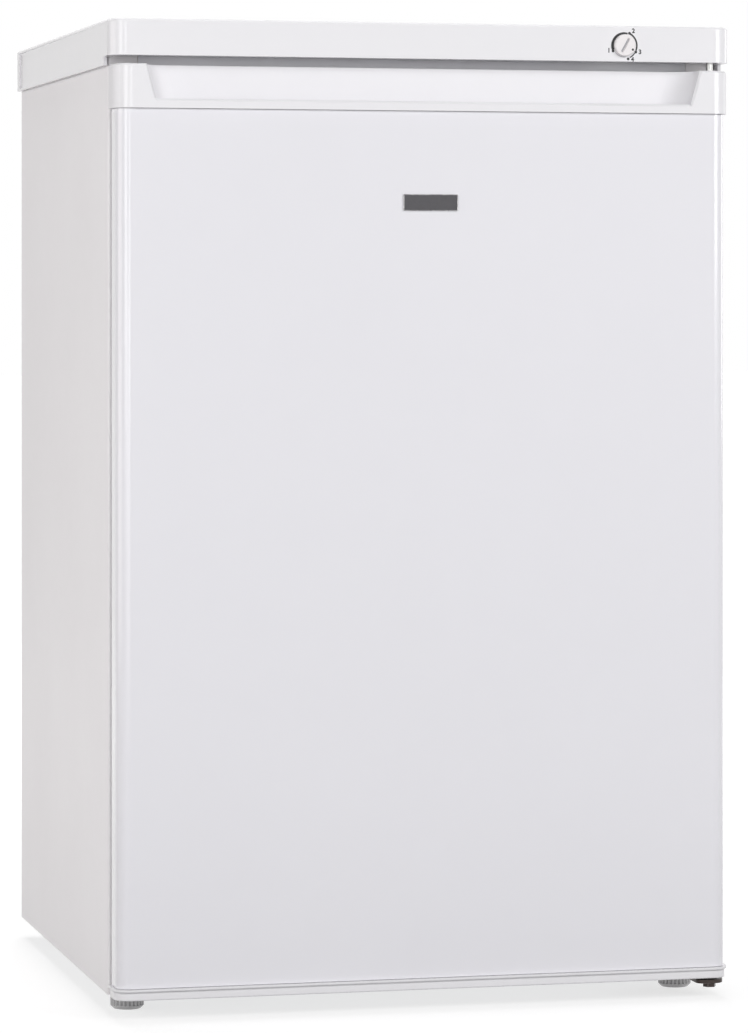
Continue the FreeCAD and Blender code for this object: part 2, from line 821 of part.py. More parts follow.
def evaporator_risers():
    """Tubes at the back wall that join the shelves to each other and to the foamed-in lines."""
    last = shelf_span()[1]
    wall_y = cavity_back - shelf_tube_r - 1.5
    seat = shelf_tube_r + slip
    risers = []
    for k, x in ((0, shelf_wire_x(shelf_wires - 1.5)), (1, shelf_wire_x(0.5))):
        low, high = shelf_heights[k], shelf_heights[k + 1]
        line = [(x, last, low + seat), (x, last, low + riser_rise), (x, wall_y, low + riser_rise),
                (x, wall_y, high - riser_rise), (x, last, high - riser_rise), (x, last, high - seat)]
        risers.append(pipe(line, shelf_tube_r, 6))
    levels = (shelf_heights[0] + seat, shelf_heights[-1] - seat)
    for (x, z), level in zip(riser_exits(), levels):
        line = [(x, cavity_back + riser_depth, z), (x, last, z), (x, last, level)]
        risers.append(pipe(line, shelf_tube_r, 6))
    return risers


# ---- Drawers ----

def drawer_levels():
    """Floor height, rim height and back end of each drawer, bottom first."""
    upper_back = cavity_back - drawer_back_gap
    lower_back = hump_front - 8
    levels = [(cavity_bottom + drawer_lift, shelf_heights[0] - shelf_tube_r - ledge_height - 4, lower_back)]
    for k in (0, 1):
        floor = shelf_heights[k] + shelf_rise + drawer_lift
        levels.append((floor, shelf_heights[k + 1] - shelf_tube_r - drawer_head_gap, upper_back))
    return levels


def tray(floor, top, back, inset):
    """Tapered tray body of a drawer, inset all round."""
    half = cavity_half - drawer_gap - rim_width - inset
    y0 = cabinet_front + drawer_front_gap + drawer_front_thickness + slip + rim_width + inset
    y1 = back - rim_width - inset
    radius = max(drawer_round - inset, 2)
    low = (-half + drawer_draft, half - drawer_draft, y0 + 1, y1 - drawer_draft)
    return drafted("XY", low, floor, (-half, half, y0, y1), top, radius)


def drawer_basket(floor, top, back):
    """Moulded drawer: drafted walls, a turned-out rim and a dip for the hand."""
    body = tray(floor, top, back, 0)
    half = cavity_half - drawer_gap
    y0 = cabinet_front + drawer_front_gap + drawer_front_thickness + slip
    rim = prism("XY", rect(-half, half, y0, back, drawer_round), top - rim_height, top)
    basket = body.fuse(rim).cut(tray(floor + drawer_wall, top + 0.01, back, drawer_wall))
    dip = rect(-grip_dip_width / 2, grip_dip_width / 2, top - grip_dip_depth, top + 20, 10)
    return basket.cut(prism("XZ", dip, y0 - 1, y0 + 30))


def drawer_front(floor, top):
    """Clear front plate, thinner inside its border, with a dip for the hand."""
    half = cavity_half - drawer_gap
    y0 = cabinet_front + drawer_front_gap
    plate = prism("XZ", rect(-half, half, floor + 1, top, 8), y0, y0 + drawer_front_thickness)
    pocket = prism("XZ", rect(-half + 4, half - 4, floor + 5, top - 4, 5), y0 + 2, y0 + 20)
    plate = plate.cut(pocket)
    dip = rect(-grip_dip_width / 2, grip_dip_width / 2, top - grip_dip_depth, top + 20, 10)
    collar = rect(-grip_dip_width / 2 - 4, grip_dip_width / 2 + 4, top - grip_dip_depth - 4, top, 10)
    collar = prism("XZ", collar, y0, y0 + drawer_front_thickness)
    return plate.fuse(collar).removeSplitter().cut(prism("XZ", dip, y0 - 1, y0 + 30))


# ---- Worktop ----

def worktop_outline(inset):
    """Plan of the worktop, moved inward by inset."""
    front_round = max(worktop_round - inset, 1)
    rear_round = max(worktop_rear_round - inset, 1)
    return rect(-worktop_half + inset, worktop_half - inset, worktop_front + inset, cabinet_back - inset,
                front_round, front_round, rear_round, rear_round)


def panel_outline(grow):
    """Plan of the inlaid panel, moved outward by grow."""
    return rect(-worktop_half + rim_side - grow, worktop_half - rim_side + grow,
                worktop_front + rim_front - grow, cabinet_back - rim_side + grow, 3)


def side_leans():
    """Wedges cut from the skirt's sides, so that they lean in towards the rear lip."""
    start, end = worktop_front + worktop_round, cabinet_back - rear_lip
    low, high = overall_height - skirt_side + bottom_lip, overall_height - 2 * worktop_bevel
    wide = worktop_half + 1
    corners = [(worktop_half, start, 0), (worktop_half - side_lean, end, 0), (wide, end, 0), (wide, start, 0)]
    right = prism("XY", corners, low, high)
    return [right, mirrored(right)]


def worktop_frame():
    """Moulded frame: skirt, rim, panel seat and ribs, with two lugs for the rear screws."""
    top = overall_height
    side_bottom = top - skirt_side
    front_bottom = top - skirt_front
    seat = top - panel_thickness
    edge = top - worktop_bevel
    skirt = fused([prism("XY", worktop_outline(0), side_bottom, edge),
                   loft("XY", worktop_outline(0), edge, worktop_outline(worktop_bevel), top)])
    skirt = skirt.cut(prism("XY", worktop_outline(skirt_wall), side_bottom - 1, top - skirt_wall))
    lip = prism("XY", worktop_outline(skirt_wall - 0.5), front_bottom, front_bottom + 2.3)
    lip = lip.cut(prism("XY", worktop_outline(skirt_wall + skirt_lip), front_bottom - 1, front_bottom + 4))
    lip = lip.common(block(-worktop_half, worktop_half, worktop_front, cabinet_front - 2, 0, top))
    ring = prism("XY", panel_outline(skirt_wall), seat - skirt_wall, top - skirt_wall / 2)
    ring = ring.cut(prism("XY", panel_outline(-seat_width), 0, top))
    ribs = []
    ring_front = worktop_front + rim_front - skirt_wall
    ring_back = cabinet_back - rim_side + skirt_wall
    ring_half = worktop_half - rim_side + skirt_wall
    for k in range(ribs_in_row):
        y = cabinet_front + side_rib_first + k * rib_pitch
        for side in (-1, 1):
            x0, x1 = sorted((side * (ring_half - 1), side * (worktop_half - 1)))
            ribs.append(block(x0, x1, y, y + rib, cabinet_top, top - 1))
    for k in range(ribs_in_row):
        x = dial_x - rib_to_dial - k * rib_pitch
        ribs.append(block(x, x + rib, worktop_front + 1, ring_front + 1, cabinet_top, top - 1))
        ribs.append(block(x, x + rib, ring_back - 1, cabinet_back - 1, cabinet_top, top - 1))
    frame = fused([skirt, lip, ring] + ribs)
    clear = block(-worktop_half + skirt_wall, worktop_half - skirt_wall, cabinet_back - skirt_wall - 1,
                  cabinet_back + 1, 0, cabinet_top + slip)
    wide = worktop_half + 1
    low_front = block(-wide, wide, worktop_front - 1, cap_back + skirt_behind_door, 0, front_bottom)
    pocket = prism("XY", panel_outline(panel_gap), seat, top + 1)
    dial = rod_y(knob_hub_r + 0.7, dial_x, dial_z, worktop_front - 1, worktop_front + skirt_wall + 1)
    for cutter in [clear, low_front, pocket, dial] + side_leans():
        frame = frame.cut(cutter)
    lugs = []
    for x, z in lug_places():
        lug = prism("XZ", rect(x - lug_width / 2, x + lug_width / 2, z - 6, z - 6 + lug_height, 4),
                    cabinet_back - steel, cabinet_back - steel + lug_thickness)
        lugs.append(lug.cut(rod_y(screw_r + hole_gap, x, z, cabinet_back - 9, cabinet_back + 9)))
    return fused([frame] + lugs)


def worktop_panel():
    """Laminated board let into the frame."""
    board = prism("XY", panel_outline(0), overall_height - panel_thickness, overall_height)
    return board


# ---- Thermostat ----

def thermostat_bracket():
    """Angle that holds the thermostat behind the worktop's skirt."""
    y0 = front + bracket_front
    edge = (cabinet_front + rail_depth - 4, cabinet_top)
    path = [(y0, cabinet_top + bracket_height), (y0, cabinet_top), edge]
    half = thermostat_width / 2 - 4
    bracket = sheet("YZ", path, bracket_sheet, 1, dial_x - half, dial_x + half)
    bracket = bracket.cut(rod_y(thermostat_bush_r + hole_gap, dial_x, dial_z, y0 - 5, y0 + 5))
    x, y = bracket_screw_place()
    return bracket.cut(rod(screw_r + hole_gap, x, y, cabinet_top - 5, cabinet_top + 5))


def thermostat_body():
    """Switch housing with its threaded bush, bored for the spindle."""
    y0 = front + bracket_front + bracket_sheet + slip
    z0 = cabinet_top + bracket_sheet + slip
    half = thermostat_width / 2
    housing = prism("YZ", rect(y0, y0 + thermostat_depth, z0, z0 + thermostat_height, 2),
                    dial_x - half, dial_x + half)
    cover = prism("YZ", rect(y0 + 6, y0 + thermostat_depth - 6, z0 + 3, z0 + thermostat_height - 3, 2),
                  dial_x - half - 3, dial_x + half + 3)
    bush = rod_y(thermostat_bush_r, dial_x, dial_z, front + bracket_front - 0.7, y0 + 1)
    body = fused([housing, cover, bush])
    return body.cut(rod_y(spindle_r + run_gap, dial_x, dial_z, front, y0 + 12))


def spindle_section(y0, y1, grow):
    """Round spindle with one flat, which the knob's bore matches."""
    round_bar = rod_y(spindle_r + grow, dial_x, dial_z, y0, y1)
    flat = spindle_r - spindle_flat + grow
    keep = block(dial_x - 9, dial_x + 9, y0 - 1, y1 + 1, dial_z - 9, dial_z + flat)
    return round_bar.common(keep)


def thermostat_spindle():
    y_flat = front + bracket_front - 1
    shaft = rod_y(spindle_r, dial_x, dial_z, y_flat, front + bracket_front + bracket_sheet + 10)
    return shaft.fuse(spindle_section(worktop_front - 2, y_flat + 0.5, 0)).removeSplitter()


def thermostat_knob():
    """Round knob with a coin slot, on a hub that passes through the skirt."""
    face = worktop_front - slip - knob_thickness
    disc = rod_y(knob_r, dial_x, dial_z, face, face + knob_thickness)
    rim = edges_where(disc, lambda p: abs(p.y - face) < 0.01)
    disc = disc.makeChamfer(0.8, rim)
    hub = rod_y(knob_hub_r, dial_x, dial_z, face + 1, front + bracket_front - 1.2)
    slot = block(-knob_r * 0.72, knob_r * 0.72, face - 1, face + 1.3, -knob_slot / 2, knob_slot / 2)
    slot.rotate(V(0, 0, 0), V(0, 1, 0), -knob_slot_angle)
    slot.translate(V(dial_x, 0, dial_z))
    knob = disc.fuse(hub).removeSplitter().cut(slot)
    return knob.cut(spindle_section(worktop_front - 2 - slip, front + bracket_front + 2, run_gap))


# ---- Hinges ----

def upper_hinge_bracket():
    """Flat plate screwed to the rail, with a tongue that reaches over the door."""
    left, right = hinge_x - tongue_r, hinge_x + tongue_r
    wide_left = hinge_x - upper_plate_left
    step, end = cabinet_front + upper_plate_lap, cabinet_front + upper_plate_back
    corners = [
        (left, hinge_y - tongue_r, tongue_r),
        (right, hinge_y - tongue_r, tongue_r),
        (right, end, 4),
        (wide_left, end, 6),
        (wide_left, step, 6),
        (left, step, 8),
    ]
    plate = prism("XY", corners, cabinet_top, cabinet_top + upper_plate)
    for x, y in upper_screw_places():
        plate = plate.cut(rod(screw_r + hole_gap, x, y, cabinet_top - 1, cabinet_top + upper_plate + 1))
    return plate.cut(rod(pin_r + run_gap, hinge_x, hinge_y, cabinet_top - 1, cabinet_top + upper_plate + 1))


def upper_hinge_pin():
    """Riveted pin that hangs from the upper plate into the door's bush."""
    top = cabinet_top + upper_plate
    foot = door_top - bush_length + 2
    profile = [(0, foot, 0), (pin_r - 1, foot, 0), (pin_r, foot + 1, 0), (pin_r, top, 0),
               (bush_r, top, 0), (bush_r - 1, top + 2, 0), (0, top + 2, 0)]
    return turned(profile, hinge_x, hinge_y)


def lower_hinge_bracket():
    """Stepped plate under the cabinet; its tongue carries the door's lower pin."""
    tongue_top = cabinet_bottom - lower_plate_drop
    low, high = tongue_top - lower_plate, cabinet_bottom - lower_plate
    y0, y1 = hinge_y - lower_tongue_front, cabinet_front + lower_bracket_strip
    path = [(y0, low), (cabinet_front - 5, low), (cabinet_front - 1, high), (y1, high)]
    left, tongue_left, right = hinge_x - lower_plate_left, hinge_x - lower_tongue_left, cabinet_half - 0.5
    strip = sheet("YZ", path, lower_plate, 2, left - 5, cabinet_half)
    corners = [
        (tongue_left, y0, 7),
        (right, y0, 11),
        (right, y1, 2),
        (left, y1, 3),
        (left, cabinet_front + 2, 4),
        (tongue_left, cabinet_front + 2, 6),
    ]
    plate = strip.common(prism("XY", corners, 0, cabinet_bottom + 5))
    for x, y in lower_screw_places():
        plate = plate.cut(rod(screw_r + hole_gap, x, y, 0, cabinet_bottom + 5))
    return plate.cut(rod(lower_shank_r + run_gap, hinge_x, hinge_y, 0, cabinet_bottom + 5))


def lower_hinge_pin():
    """Hexagon-headed pin with a collar that the door's bush turns on."""
    plate_top = cabinet_bottom - lower_plate_drop
    plate_bottom = plate_top - lower_plate
    seat = V(hinge_x, hinge_y, plate_bottom)
    head = polygon_bar(6, pin_head_flats, seat - V(0, 0, pin_head), seat)
    collar = door_bottom - bush_flange - slip
    tip = door_bottom + bush_length - 2
    profile = [(0, plate_bottom - 1, 0), (lower_shank_r, plate_bottom - 1, 0), (lower_shank_r, plate_top, 0),
               (bush_flange_r - 0.5, plate_top, 0), (bush_flange_r - 0.5, collar, 0), (pin_r, collar, 0),
               (pin_r, tip - 1, 0), (pin_r - 1, tip, 0), (0, tip, 0)]
    return head.fuse(turned(profile, hinge_x, hinge_y)).removeSplitter()


def hinge_bushes():
    """Flanged sleeves in the caps, one at the top and one at the bottom."""
    low = [(pin_r + run_gap, door_bottom - bush_flange, 0), (bush_flange_r, door_bottom - bush_flange, 0),
           (bush_flange_r, door_bottom, 0), (bush_r, door_bottom, 0), (bush_r, door_bottom + bush_length, 0),
           (pin_r + run_gap, door_bottom + bush_length, 0)]
    high = [(pin_r + run_gap, door_top - bush_length, 0), (bush_r, door_top - bush_length, 0),
            (bush_r, door_top, 0), (bush_flange_r, door_top, 0), (bush_flange_r, door_top + bush_flange, 0),
            (pin_r + run_gap, door_top + bush_flange, 0)]
    return [turned(low, hinge_x, hinge_y), turned(high, hinge_x, hinge_y)]


def hinge_plugs():
    """Plugs in the caps' spare bush holes, for a door that can be hung from either side."""
    stem = bush_length - 5
    low = [(0, door_bottom - bush_flange, 0), (bush_flange_r - 1, door_bottom - bush_flange, 0),
           (bush_flange_r, door_bottom, 0), (bush_r, door_bottom, 0), (bush_r, door_bottom + stem, 0),
           (0, door_bottom + stem, 0)]
    high = [(0, door_top - stem, 0), (bush_r, door_top - stem, 0), (bush_r, door_top, 0),
            (bush_flange_r, door_top, 0), (bush_flange_r - 1, door_top + bush_flange, 0),
            (0, door_top + bush_flange, 0)]
    return [turned(low, -hinge_x, hinge_y), turned(high, -hinge_x, hinge_y)]


# ---- Door ----

def cap_outline(inset):
    """Plan of the door's caps, moved inward by inset."""
    front_round = max(cap_round - inset, 1)
    rear_round = max(3 - inset, 0.5)
    return rect(-cap_half + inset, cap_half - inset, front + inset, cap_back - inset,
                front_round, front_round, rear_round, rear_round)


def skin_outline(inset):
    """Plan of the steel skin, moved inward by inset."""
    front_round = max(skin_round - inset, 1)
    return rect(-skin_half + inset, skin_half - inset, skin_front + inset, skin_back - inset,
                front_round, front_round, 1, 1)


def spigot(low, high):
    """Ring on a cap that plugs into the skin."""
    ring = prism("XY", skin_outline(steel + slip), low, high)
    return ring.cut(prism("XY", skin_outline(steel + slip + spigot_wall), low - 1, high + 1))


def door_outer_panel():
    """Steel skin: front and both sides in one sheet, with flanges turned in at the back."""
    path = [
        (-skin_half + skin_return, skin_back),
        (-skin_half, skin_back),
        (-skin_half, skin_front),
        (skin_half, skin_front),
        (skin_half, skin_back),
        (skin_half - skin_return, skin_back),
    ]
    corner = skin_round - steel
    bends = [0, bend, corner, corner, bend, 0]
    return sheet("XY", path, steel, bends, bottom_seam + seam, top_seam - seam)


def grip_half(z, grow=0.0):
    """Half-width of the hand grip at a height; its ends slant outward towards the top."""
    lip_top = top_seam + grip_lip
    rise = (z - lip_top) / (door_top - lip_top)
    return cap_half - grip_end - grip_slant * (1 - rise) + grow


def grip_shape(grow):
    """Space of the hand grip: slanted ends, round back corners and a floor below the front lip."""
    lip_top = top_seam + grip_lip
    back = front + grip_depth + grow

    def slab(z0, z1, y0):
        low, high = grip_half(z0, grow), grip_half(z1, grow)
        return prism("XZ", [(-low, z0, 0), (low, z0, 0), (high, z1, 0), (-high, z1, 0)], y0, back)

    mouth = slab(lip_top - grow, door_top + 1, front - 1)
    well = slab(lip_top - grip_drop - grow, lip_top + 1, front + grip_lip_thickness - grow)
    space = mouth.fuse(well).removeSplitter()

    def on_back_corner(point):
        return abs(point.y - back) < 0.01 and abs(abs(point.x) - grip_half(point.z, grow)) < 0.01

    return space.makeFillet(grip_corner + grow, edges_where(space, on_back_corner))


def grip_bevels():
    """Wedges that bevel the front edges of the grip: both slanted ends and the lip."""
    lip_top = top_seam + grip_lip
    low, high = grip_half(lip_top), grip_half(door_top)
    b = grip_bevel
    section = [(low - 1, front - 1), (low + b + 1, front - 1), (low - 1, front + b + 1)]
    foot = Part.makePolygon([V(x, y, lip_top) for x, y in section + section[:1]])
    right = Part.Face(foot).extrude(V(high - low, 0, door_top - lip_top) * 1.05)
    lip = [(front - 1, lip_top - b - 1, 0), (front + b + 1, lip_top + 1, 0), (front - 1, lip_top + 1, 0)]
    return [right, mirrored(right), prism("YZ", lip, -low, low)]


def door_top_cap():
    """Moulded top of the door: a hollow cap with the hand grip sunk into it."""
    shoulder = top_seam + wall
    outer = fused([prism("XY", cap_outline(0), top_seam, door_top - cap_bevel),
                   loft("XY", cap_outline(0), door_top - cap_bevel, cap_outline(cap_bevel), door_top)])
    hollow = prism("XY", cap_outline(wall), shoulder, door_top - wall)
    opening = prism("XY", skin_outline(steel + slip + spigot_wall), top_seam - 1, shoulder + 1)
    outer = outer.cut(hollow.fuse(opening).cut(grip_shape(wall)))
    outer = outer.fuse(spigot(top_seam - spigot_reach, top_seam + 1))
    low = door_top - bush_length - 1
    bosses = [rod(boss_r, side * hinge_x, hinge_y, low, door_top - 1) for side in (-1, 1)]
    outer = fused([outer] + bosses)
    outer = outer.cut(grip_shape(0))
    for wedge in grip_bevels():
        outer = outer.cut(wedge)
    for side in (-1, 1):
        outer = outer.cut(rod(bush_r + run_gap, side * hinge_x, hinge_y, top_seam - 20, door_top + 5))
    return outer


def door_bottom_cap():
    """Shallow cap under the door, with a step along its top edge."""
    step = bottom_seam - 3
    outer = fused([prism("XY", cap_outline(foot_bevel), door_bottom, step),
                   loft("XY", cap_outline(foot_bevel), step - 0.01, cap_outline(0), step + 1),
                   prism("XY", cap_outline(0), step + 0.99, bottom_seam)])
    hollow = prism("XY", cap_outline(wall + foot_bevel), door_bottom + wall, bottom_seam - wall)
    opening = prism("XY", skin_outline(steel + slip + spigot_wall), bottom_seam - wall - 1, bottom_seam + 1)
    outer = outer.cut(hollow.fuse(opening))
    outer = outer.fuse(spigot(bottom_seam - 1, bottom_seam + spigot_reach))
    high = door_bottom + bush_length
    bosses = [rod(boss_r, side * hinge_x, hinge_y, door_bottom + 1, high) for side in (-1, 1)]
    outer = fused([outer] + bosses)
    for side in (-1, 1):
        outer = outer.cut(rod(bush_r + run_gap, side * hinge_x, hinge_y, door_bottom - 5, door_bottom + 30))
    return outer


def dyke_base(inset):
    """Edges (x0, x1, z0, z1) of the door's raised inside where it leaves the flange."""
    half = cavity_half - dyke_side_gap - inset
    return -half, half, door_bottom + dyke_bottom_gap + inset, door_top - dyke_top_gap - inset


def dyke(inset, reach):
    """Drafted block for the raised inside of the door, moved inward by inset."""
    x0, x1, z0, z1 = dyke_base(inset)
    d = dyke_draft
    face = (x0 + d, x1 - d, z0 + d, z1 - d)
    return drafted("XZ", (x0, x1, z0, z1), liner_back - 0.5, face, liner_back + reach, dyke_round - inset)


def dyke_neck(inset, y0):
    """Straight block through the liner's flange, as wide as the raised part's foot."""
    return prism("XZ", rect(*dyke_base(inset), dyke_round - inset), y0, liner_back - 0.4)


def door_inner_liner():
    """Thermoformed inside of the door: a flat flange for the seal around a raised panel."""
    half = cap_half - liner_flange_inset
    flange = prism("XZ", rect(-half, half, door_bottom + 3, door_top - 3, 6), liner_front, liner_back)
    hollow = dyke(liner, dyke_reach - liner).fuse(dyke_neck(liner, liner_front - 1))
    return flange.fuse(dyke(0, dyke_reach)).cut(hollow)


def door_insulation():
    """Foam inside the door's skin and raised liner."""
    back = skin_back - steel - slip
    edge = steel + slip
    radius = skin_round - edge
    corners = rect(-skin_half + edge, skin_half - edge, skin_front + edge, back, radius, radius, bend, bend)
    slab = prism("XY", corners, bottom_seam + bush_length, top_seam - spigot_reach - slip)
    inset = liner + slip
    return fused([slab, dyke_neck(inset, back - 1), dyke(inset, dyke_reach - inset)])


def door_gasket():
    """Magnetic seal: a foot on the door's liner, a soft neck and the bulb that meets the cabinet."""
    x, top, bottom = cap_half - seal_inset, door_top - seal_top_inset, door_bottom + seal_top_inset - 1
    face = cabinet_front - seal_gap

    def band(inset, width, y0, y1):
        edge = rect(-x + inset, x - inset, bottom + inset, top - inset, max(8 - inset, 1))
        ring = prism("XZ", edge, y0, y1)
        deep = inset + width
        hole = rect(-x + deep, x - deep, bottom + deep, top - deep, max(8 - deep, 1))
        return ring.cut(prism("XZ", hole, y0 - 1, y1 + 1))

    foot = band(0, seal_width, liner_back, liner_back + 1.5)
    neck = band(4, seal_width - 8, liner_back + 1, face - 2.5)
    bulb = band(1, seal_width - 2, face - 3, face)
    return fused([foot, neck, bulb])


# ---- Feet ----

def foot_pad(x):
    """Fluted screw foot: chamfered sole, fluted grip and a hub under the cabinet."""
    hub = cabinet_bottom - lower_plate_drop
    rim = foot_grip_height - 1.5
    profile = [(0, 0, 0), (foot_r - sole_edge, 0, 0), (foot_r, sole_edge, 0), (foot_r, rim, 0),
               (foot_r - 1.5, foot_grip_height, 0), (foot_hub_r, foot_grip_height, 0), (foot_hub_r, hub, 0),
               (0, hub, 0)]
    pad = turned(profile, x, foot_y)
    flutes = []
    for k in range(foot_flutes):
        turn = 2 * math.pi * k / foot_flutes
        reach = foot_r + flute_r * 0.45
        across, along = x + reach * math.cos(turn), foot_y + reach * math.sin(turn)
        flutes.append(rod(flute_r, across, along, sole_edge + 1, foot_grip_height + 1))
    pad = pad.cut(Part.makeCompound(flutes))
    return pad.cut(rod(stud_r + run_gap, x, foot_y, foot_socket, 30))


def foot_stud(x):
    """Threaded stud that carries the pad and climbs into the cabinet's insert."""
    top = cabinet_bottom + foot_thread
    profile = [(0, foot_socket + slip, 0), (stud_r, foot_socket + slip, 0), (stud_r, top - 1.5, 0),
               (stud_r - 1.5, top, 0), (0, top, 0)]
    return turned(profile, x, foot_y)


def foot_insert(x):
    """Threaded insert on the base plate."""
    low = cabinet_bottom + steel
    across = 2 * insert_r * math.cos(math.pi / 6)
    nut = polygon_bar(6, across, V(x, foot_y, low), V(x, foot_y, low + insert_height))
    return nut.cut(rod(stud_r + run_gap, x, foot_y, 0, 60))


def rear_foot(x):
    """Fixed rear foot with a peg through the carrier."""
    profile = [(0, 0, 0), (rear_foot_r - 2, 0, 0), (rear_foot_r, 2, 0), (rear_foot_r, 12, 0),
               (rear_foot_r - 3, cabinet_bottom, 0), (peg_r, cabinet_bottom, 0), (peg_r, carrier_top + 3, 0),
               (0, carrier_top + 3, 0)]
    return turned(profile, x, rear_foot_y)


# ---- Compressor and pipework ----

def oval(inset):
    """Plan of the compressor's shell, moved inward by inset: rounded almost to an oval."""
    a, b = compressor_length / 2 - inset, compressor_width / 2 - inset
    x, y = compressor_offset, compressor_y
    return rect(x - a, x + a, y - b, y + b, min(a, b) * 0.9)


def stacked_ovals(levels):
    """Solid through (height, inset) levels of the compressor's plan."""
    layers = []
    for (z0, inset0), (z1, inset1) in zip(levels, levels[1:]):
        layers.append(loft("XY", oval(inset0), z0, oval(inset1), z1))
    return fused(layers)


def compressor_lower_shell():
    """Deep-drawn lower half with its weld flange."""
    z0 = compressor_lift
    seam_z = z0 + compressor_seam
    bowl = stacked_ovals([(z0, 34), (z0 + 5, 17), (z0 + 18, 7), (seam_z - 7, 4)])
    flange = prism("XY", oval(0), seam_z - 8, seam_z)
    return bowl.fuse(flange)


def compressor_upper_shell():
    """Domed upper half, closed by welding, with the crimped service stub."""
    seam_z = compressor_lift + compressor_seam
    top = compressor_lift + compressor_height
    dome = stacked_ovals([(seam_z, 3), (top - 36, 6), (top - 16, 15), (top - 5, 30), (top, 50)])
    x, y = compressor_offset - 30, compressor_y - 8
    stub = pipe([(x, y, top - 12), (x, y, top + 24)], pipe_r, 5)
    return dome.fuse(stub)


def grommet_places():
    dx, dy = compressor_length / 2 - 2, compressor_width / 2 - 16
    return [(compressor_offset + sx * dx, compressor_y + sy * dy) for sx in (-1, 1) for sy in (-1, 1)]


def compressor_foot_plate():
    """Plate welded under the shell, with an ear at each grommet."""
    z1 = compressor_lift
    z0 = z1 - foot_plate
    spread = compressor_length / 2 + 12
    ribs = []
    for side in (-1, 1):
        y = compressor_y + side * (compressor_width / 2 - 16)
        plan = rect(compressor_offset - spread, compressor_offset + spread, y - 15, y + 15, 12)
        ribs.append(prism("XY", plan, z0, z1))
    middle = block(compressor_offset - 30, compressor_offset + 30, compressor_y - compressor_width / 2 + 20,
                   compressor_y + compressor_width / 2 - 20, z0, z1)
    plate = fused(ribs + [middle])
    for x, y in grommet_places():
        plate = plate.cut(rod(grommet_r - 3 + hole_gap, x, y, z0 - 1, z1 + 1))
    return plate


def compressor_grommets():
    """Waisted rubber mounts between the carrier and the foot plate."""
    z0, z1 = carrier_top, compressor_lift - foot_plate
    neck_r, neck_top = grommet_r - 3, compressor_lift + 1
    profile = [(grommet_hole_r, z0, 0), (grommet_r, z0, 0), (grommet_r - 2, (z0 + z1) / 2, 0),
               (grommet_r, z1, 0), (neck_r, z1, 0), (neck_r, neck_top, 0), (grommet_hole_r, neck_top, 0)]
    return [turned(profile, x, y) for x, y in grommet_places()]


def compressor_bolts():
    """Bolts through the grommets, with washers under their heads."""
    bolts = []
    top = compressor_lift + 1
    for x, y in grommet_places():
        head = polygon_bar(6, 10, V(x, y, top + 1.5), V(x, y, top + 6.5))
        washer = rod(grommet_r - 2, x, y, top, top + 1.5)
        shank = polygon_bar(8, 2 * bolt_r * math.cos(math.pi / 8), V(x, y, carrier_top - 4), V(x, y, top + 2))
        bolts.append(fused([head, washer, shank]))
    return bolts


def terminal_cover():
    """Cover over the compressor's terminals and relay, with vent ribs."""
    x1 = compressor_offset - compressor_length / 2 + 2
    face = x1 - terminal_depth
    y0, y1 = compressor_y - terminal_width / 2, compressor_y + terminal_width / 2
    z0 = compressor_lift + terminal_low
    z1 = z0 + terminal_height
    ribs = []
    for k in range(vent_ribs):
        y = y0 + vent_pitch * (k + 1)
        ribs.append(block(face - vent_rib / 2, face + 4, y, y + vent_rib, z0 + vent_margin, z1 - vent_margin))
    cover = fused([prism("YZ", rect(y0, y1, z0, z1, 6), face, x1 - slip)] + ribs)
    shell = prism("XY", oval(-slip), compressor_lift, compressor_lift + compressor_height)
    return cover.cut(shell)


def cord_gland():
    """Gland on the terminal cover where the supply lead would enter, left open."""
    x = compressor_offset - compressor_length / 2 - 14
    y = compressor_y + terminal_width / 2
    z = compressor_lift + gland_height
    flange = rod_y(gland_flange_r, x, z, y + 0.05, y + 3)
    body = flange.fuse(rod_y(gland_r, x, z, y + 2, y + gland_reach)).removeSplitter()
    return body.cut(rod_y(gland_bore_r, x, z, y + 2, y + gland_reach + 1))


def filter_drier():
    """Copper drier, spun down to a neck at each end."""
    z0 = carrier_top + drier_lift
    z1 = z0 + drier_length
    low, high = z0 - drier_neck, z1 + drier_neck
    neck = pipe_r + 0.6
    profile = [(0, low, 0), (neck, low, 0), (neck, z0, 0), (drier_r, z0 + drier_r, 0),
               (drier_r, z1 - drier_r, 0), (neck, z1, 0), (neck, high, 0), (0, high, 0)]
    return turned(profile, drier_x, compressor_y)


def capillary_tube():
    """Thin tube from the drier into the foamed-in heat exchanger."""
    top = carrier_top + drier_lift - drier_neck - slip
    low, high = top - capillary_drop, top + capillary_rise
    side, back = drier_x + capillary_side, niche_front + capillary_reach
    line = [(drier_x, compressor_y, top), (drier_x, compressor_y, low), (side, compressor_y, low),
            (side, back, low), (side, back, high), (side, niche_front + slip, high)]
    return pipe(line, capillary_r, 8, 6)


def suction_tube():
    """Return line from the evaporator, through the niche's front wall, to the top of the compressor."""
    top = compressor_lift + compressor_height
    x = compressor_offset + suction_side
    high = top + suction_rise
    line = [(x, compressor_y, top + slip), (x, compressor_y, high), (x, niche_front + slip, high)]
    return pipe(line, suction_r, 9)


def discharge_tube():
    """Hot gas line from the compressor to the foot of the condenser's riser."""
    x0 = compressor_offset + compressor_length / 2 + slip
    z = compressor_lift + compressor_seam + 18
    line = [(x0 - 2, compressor_y, z), (riser_x, compressor_y, z), (riser_x, condenser_y, z),
            (riser_x, condenser_y, condenser_bottom - condenser_foot)]
    return pipe(line, pipe_r, 14)


# ---- Condenser ----

def condenser_top():
    return condenser_bottom + (condenser_runs - 1) * condenser_pitch


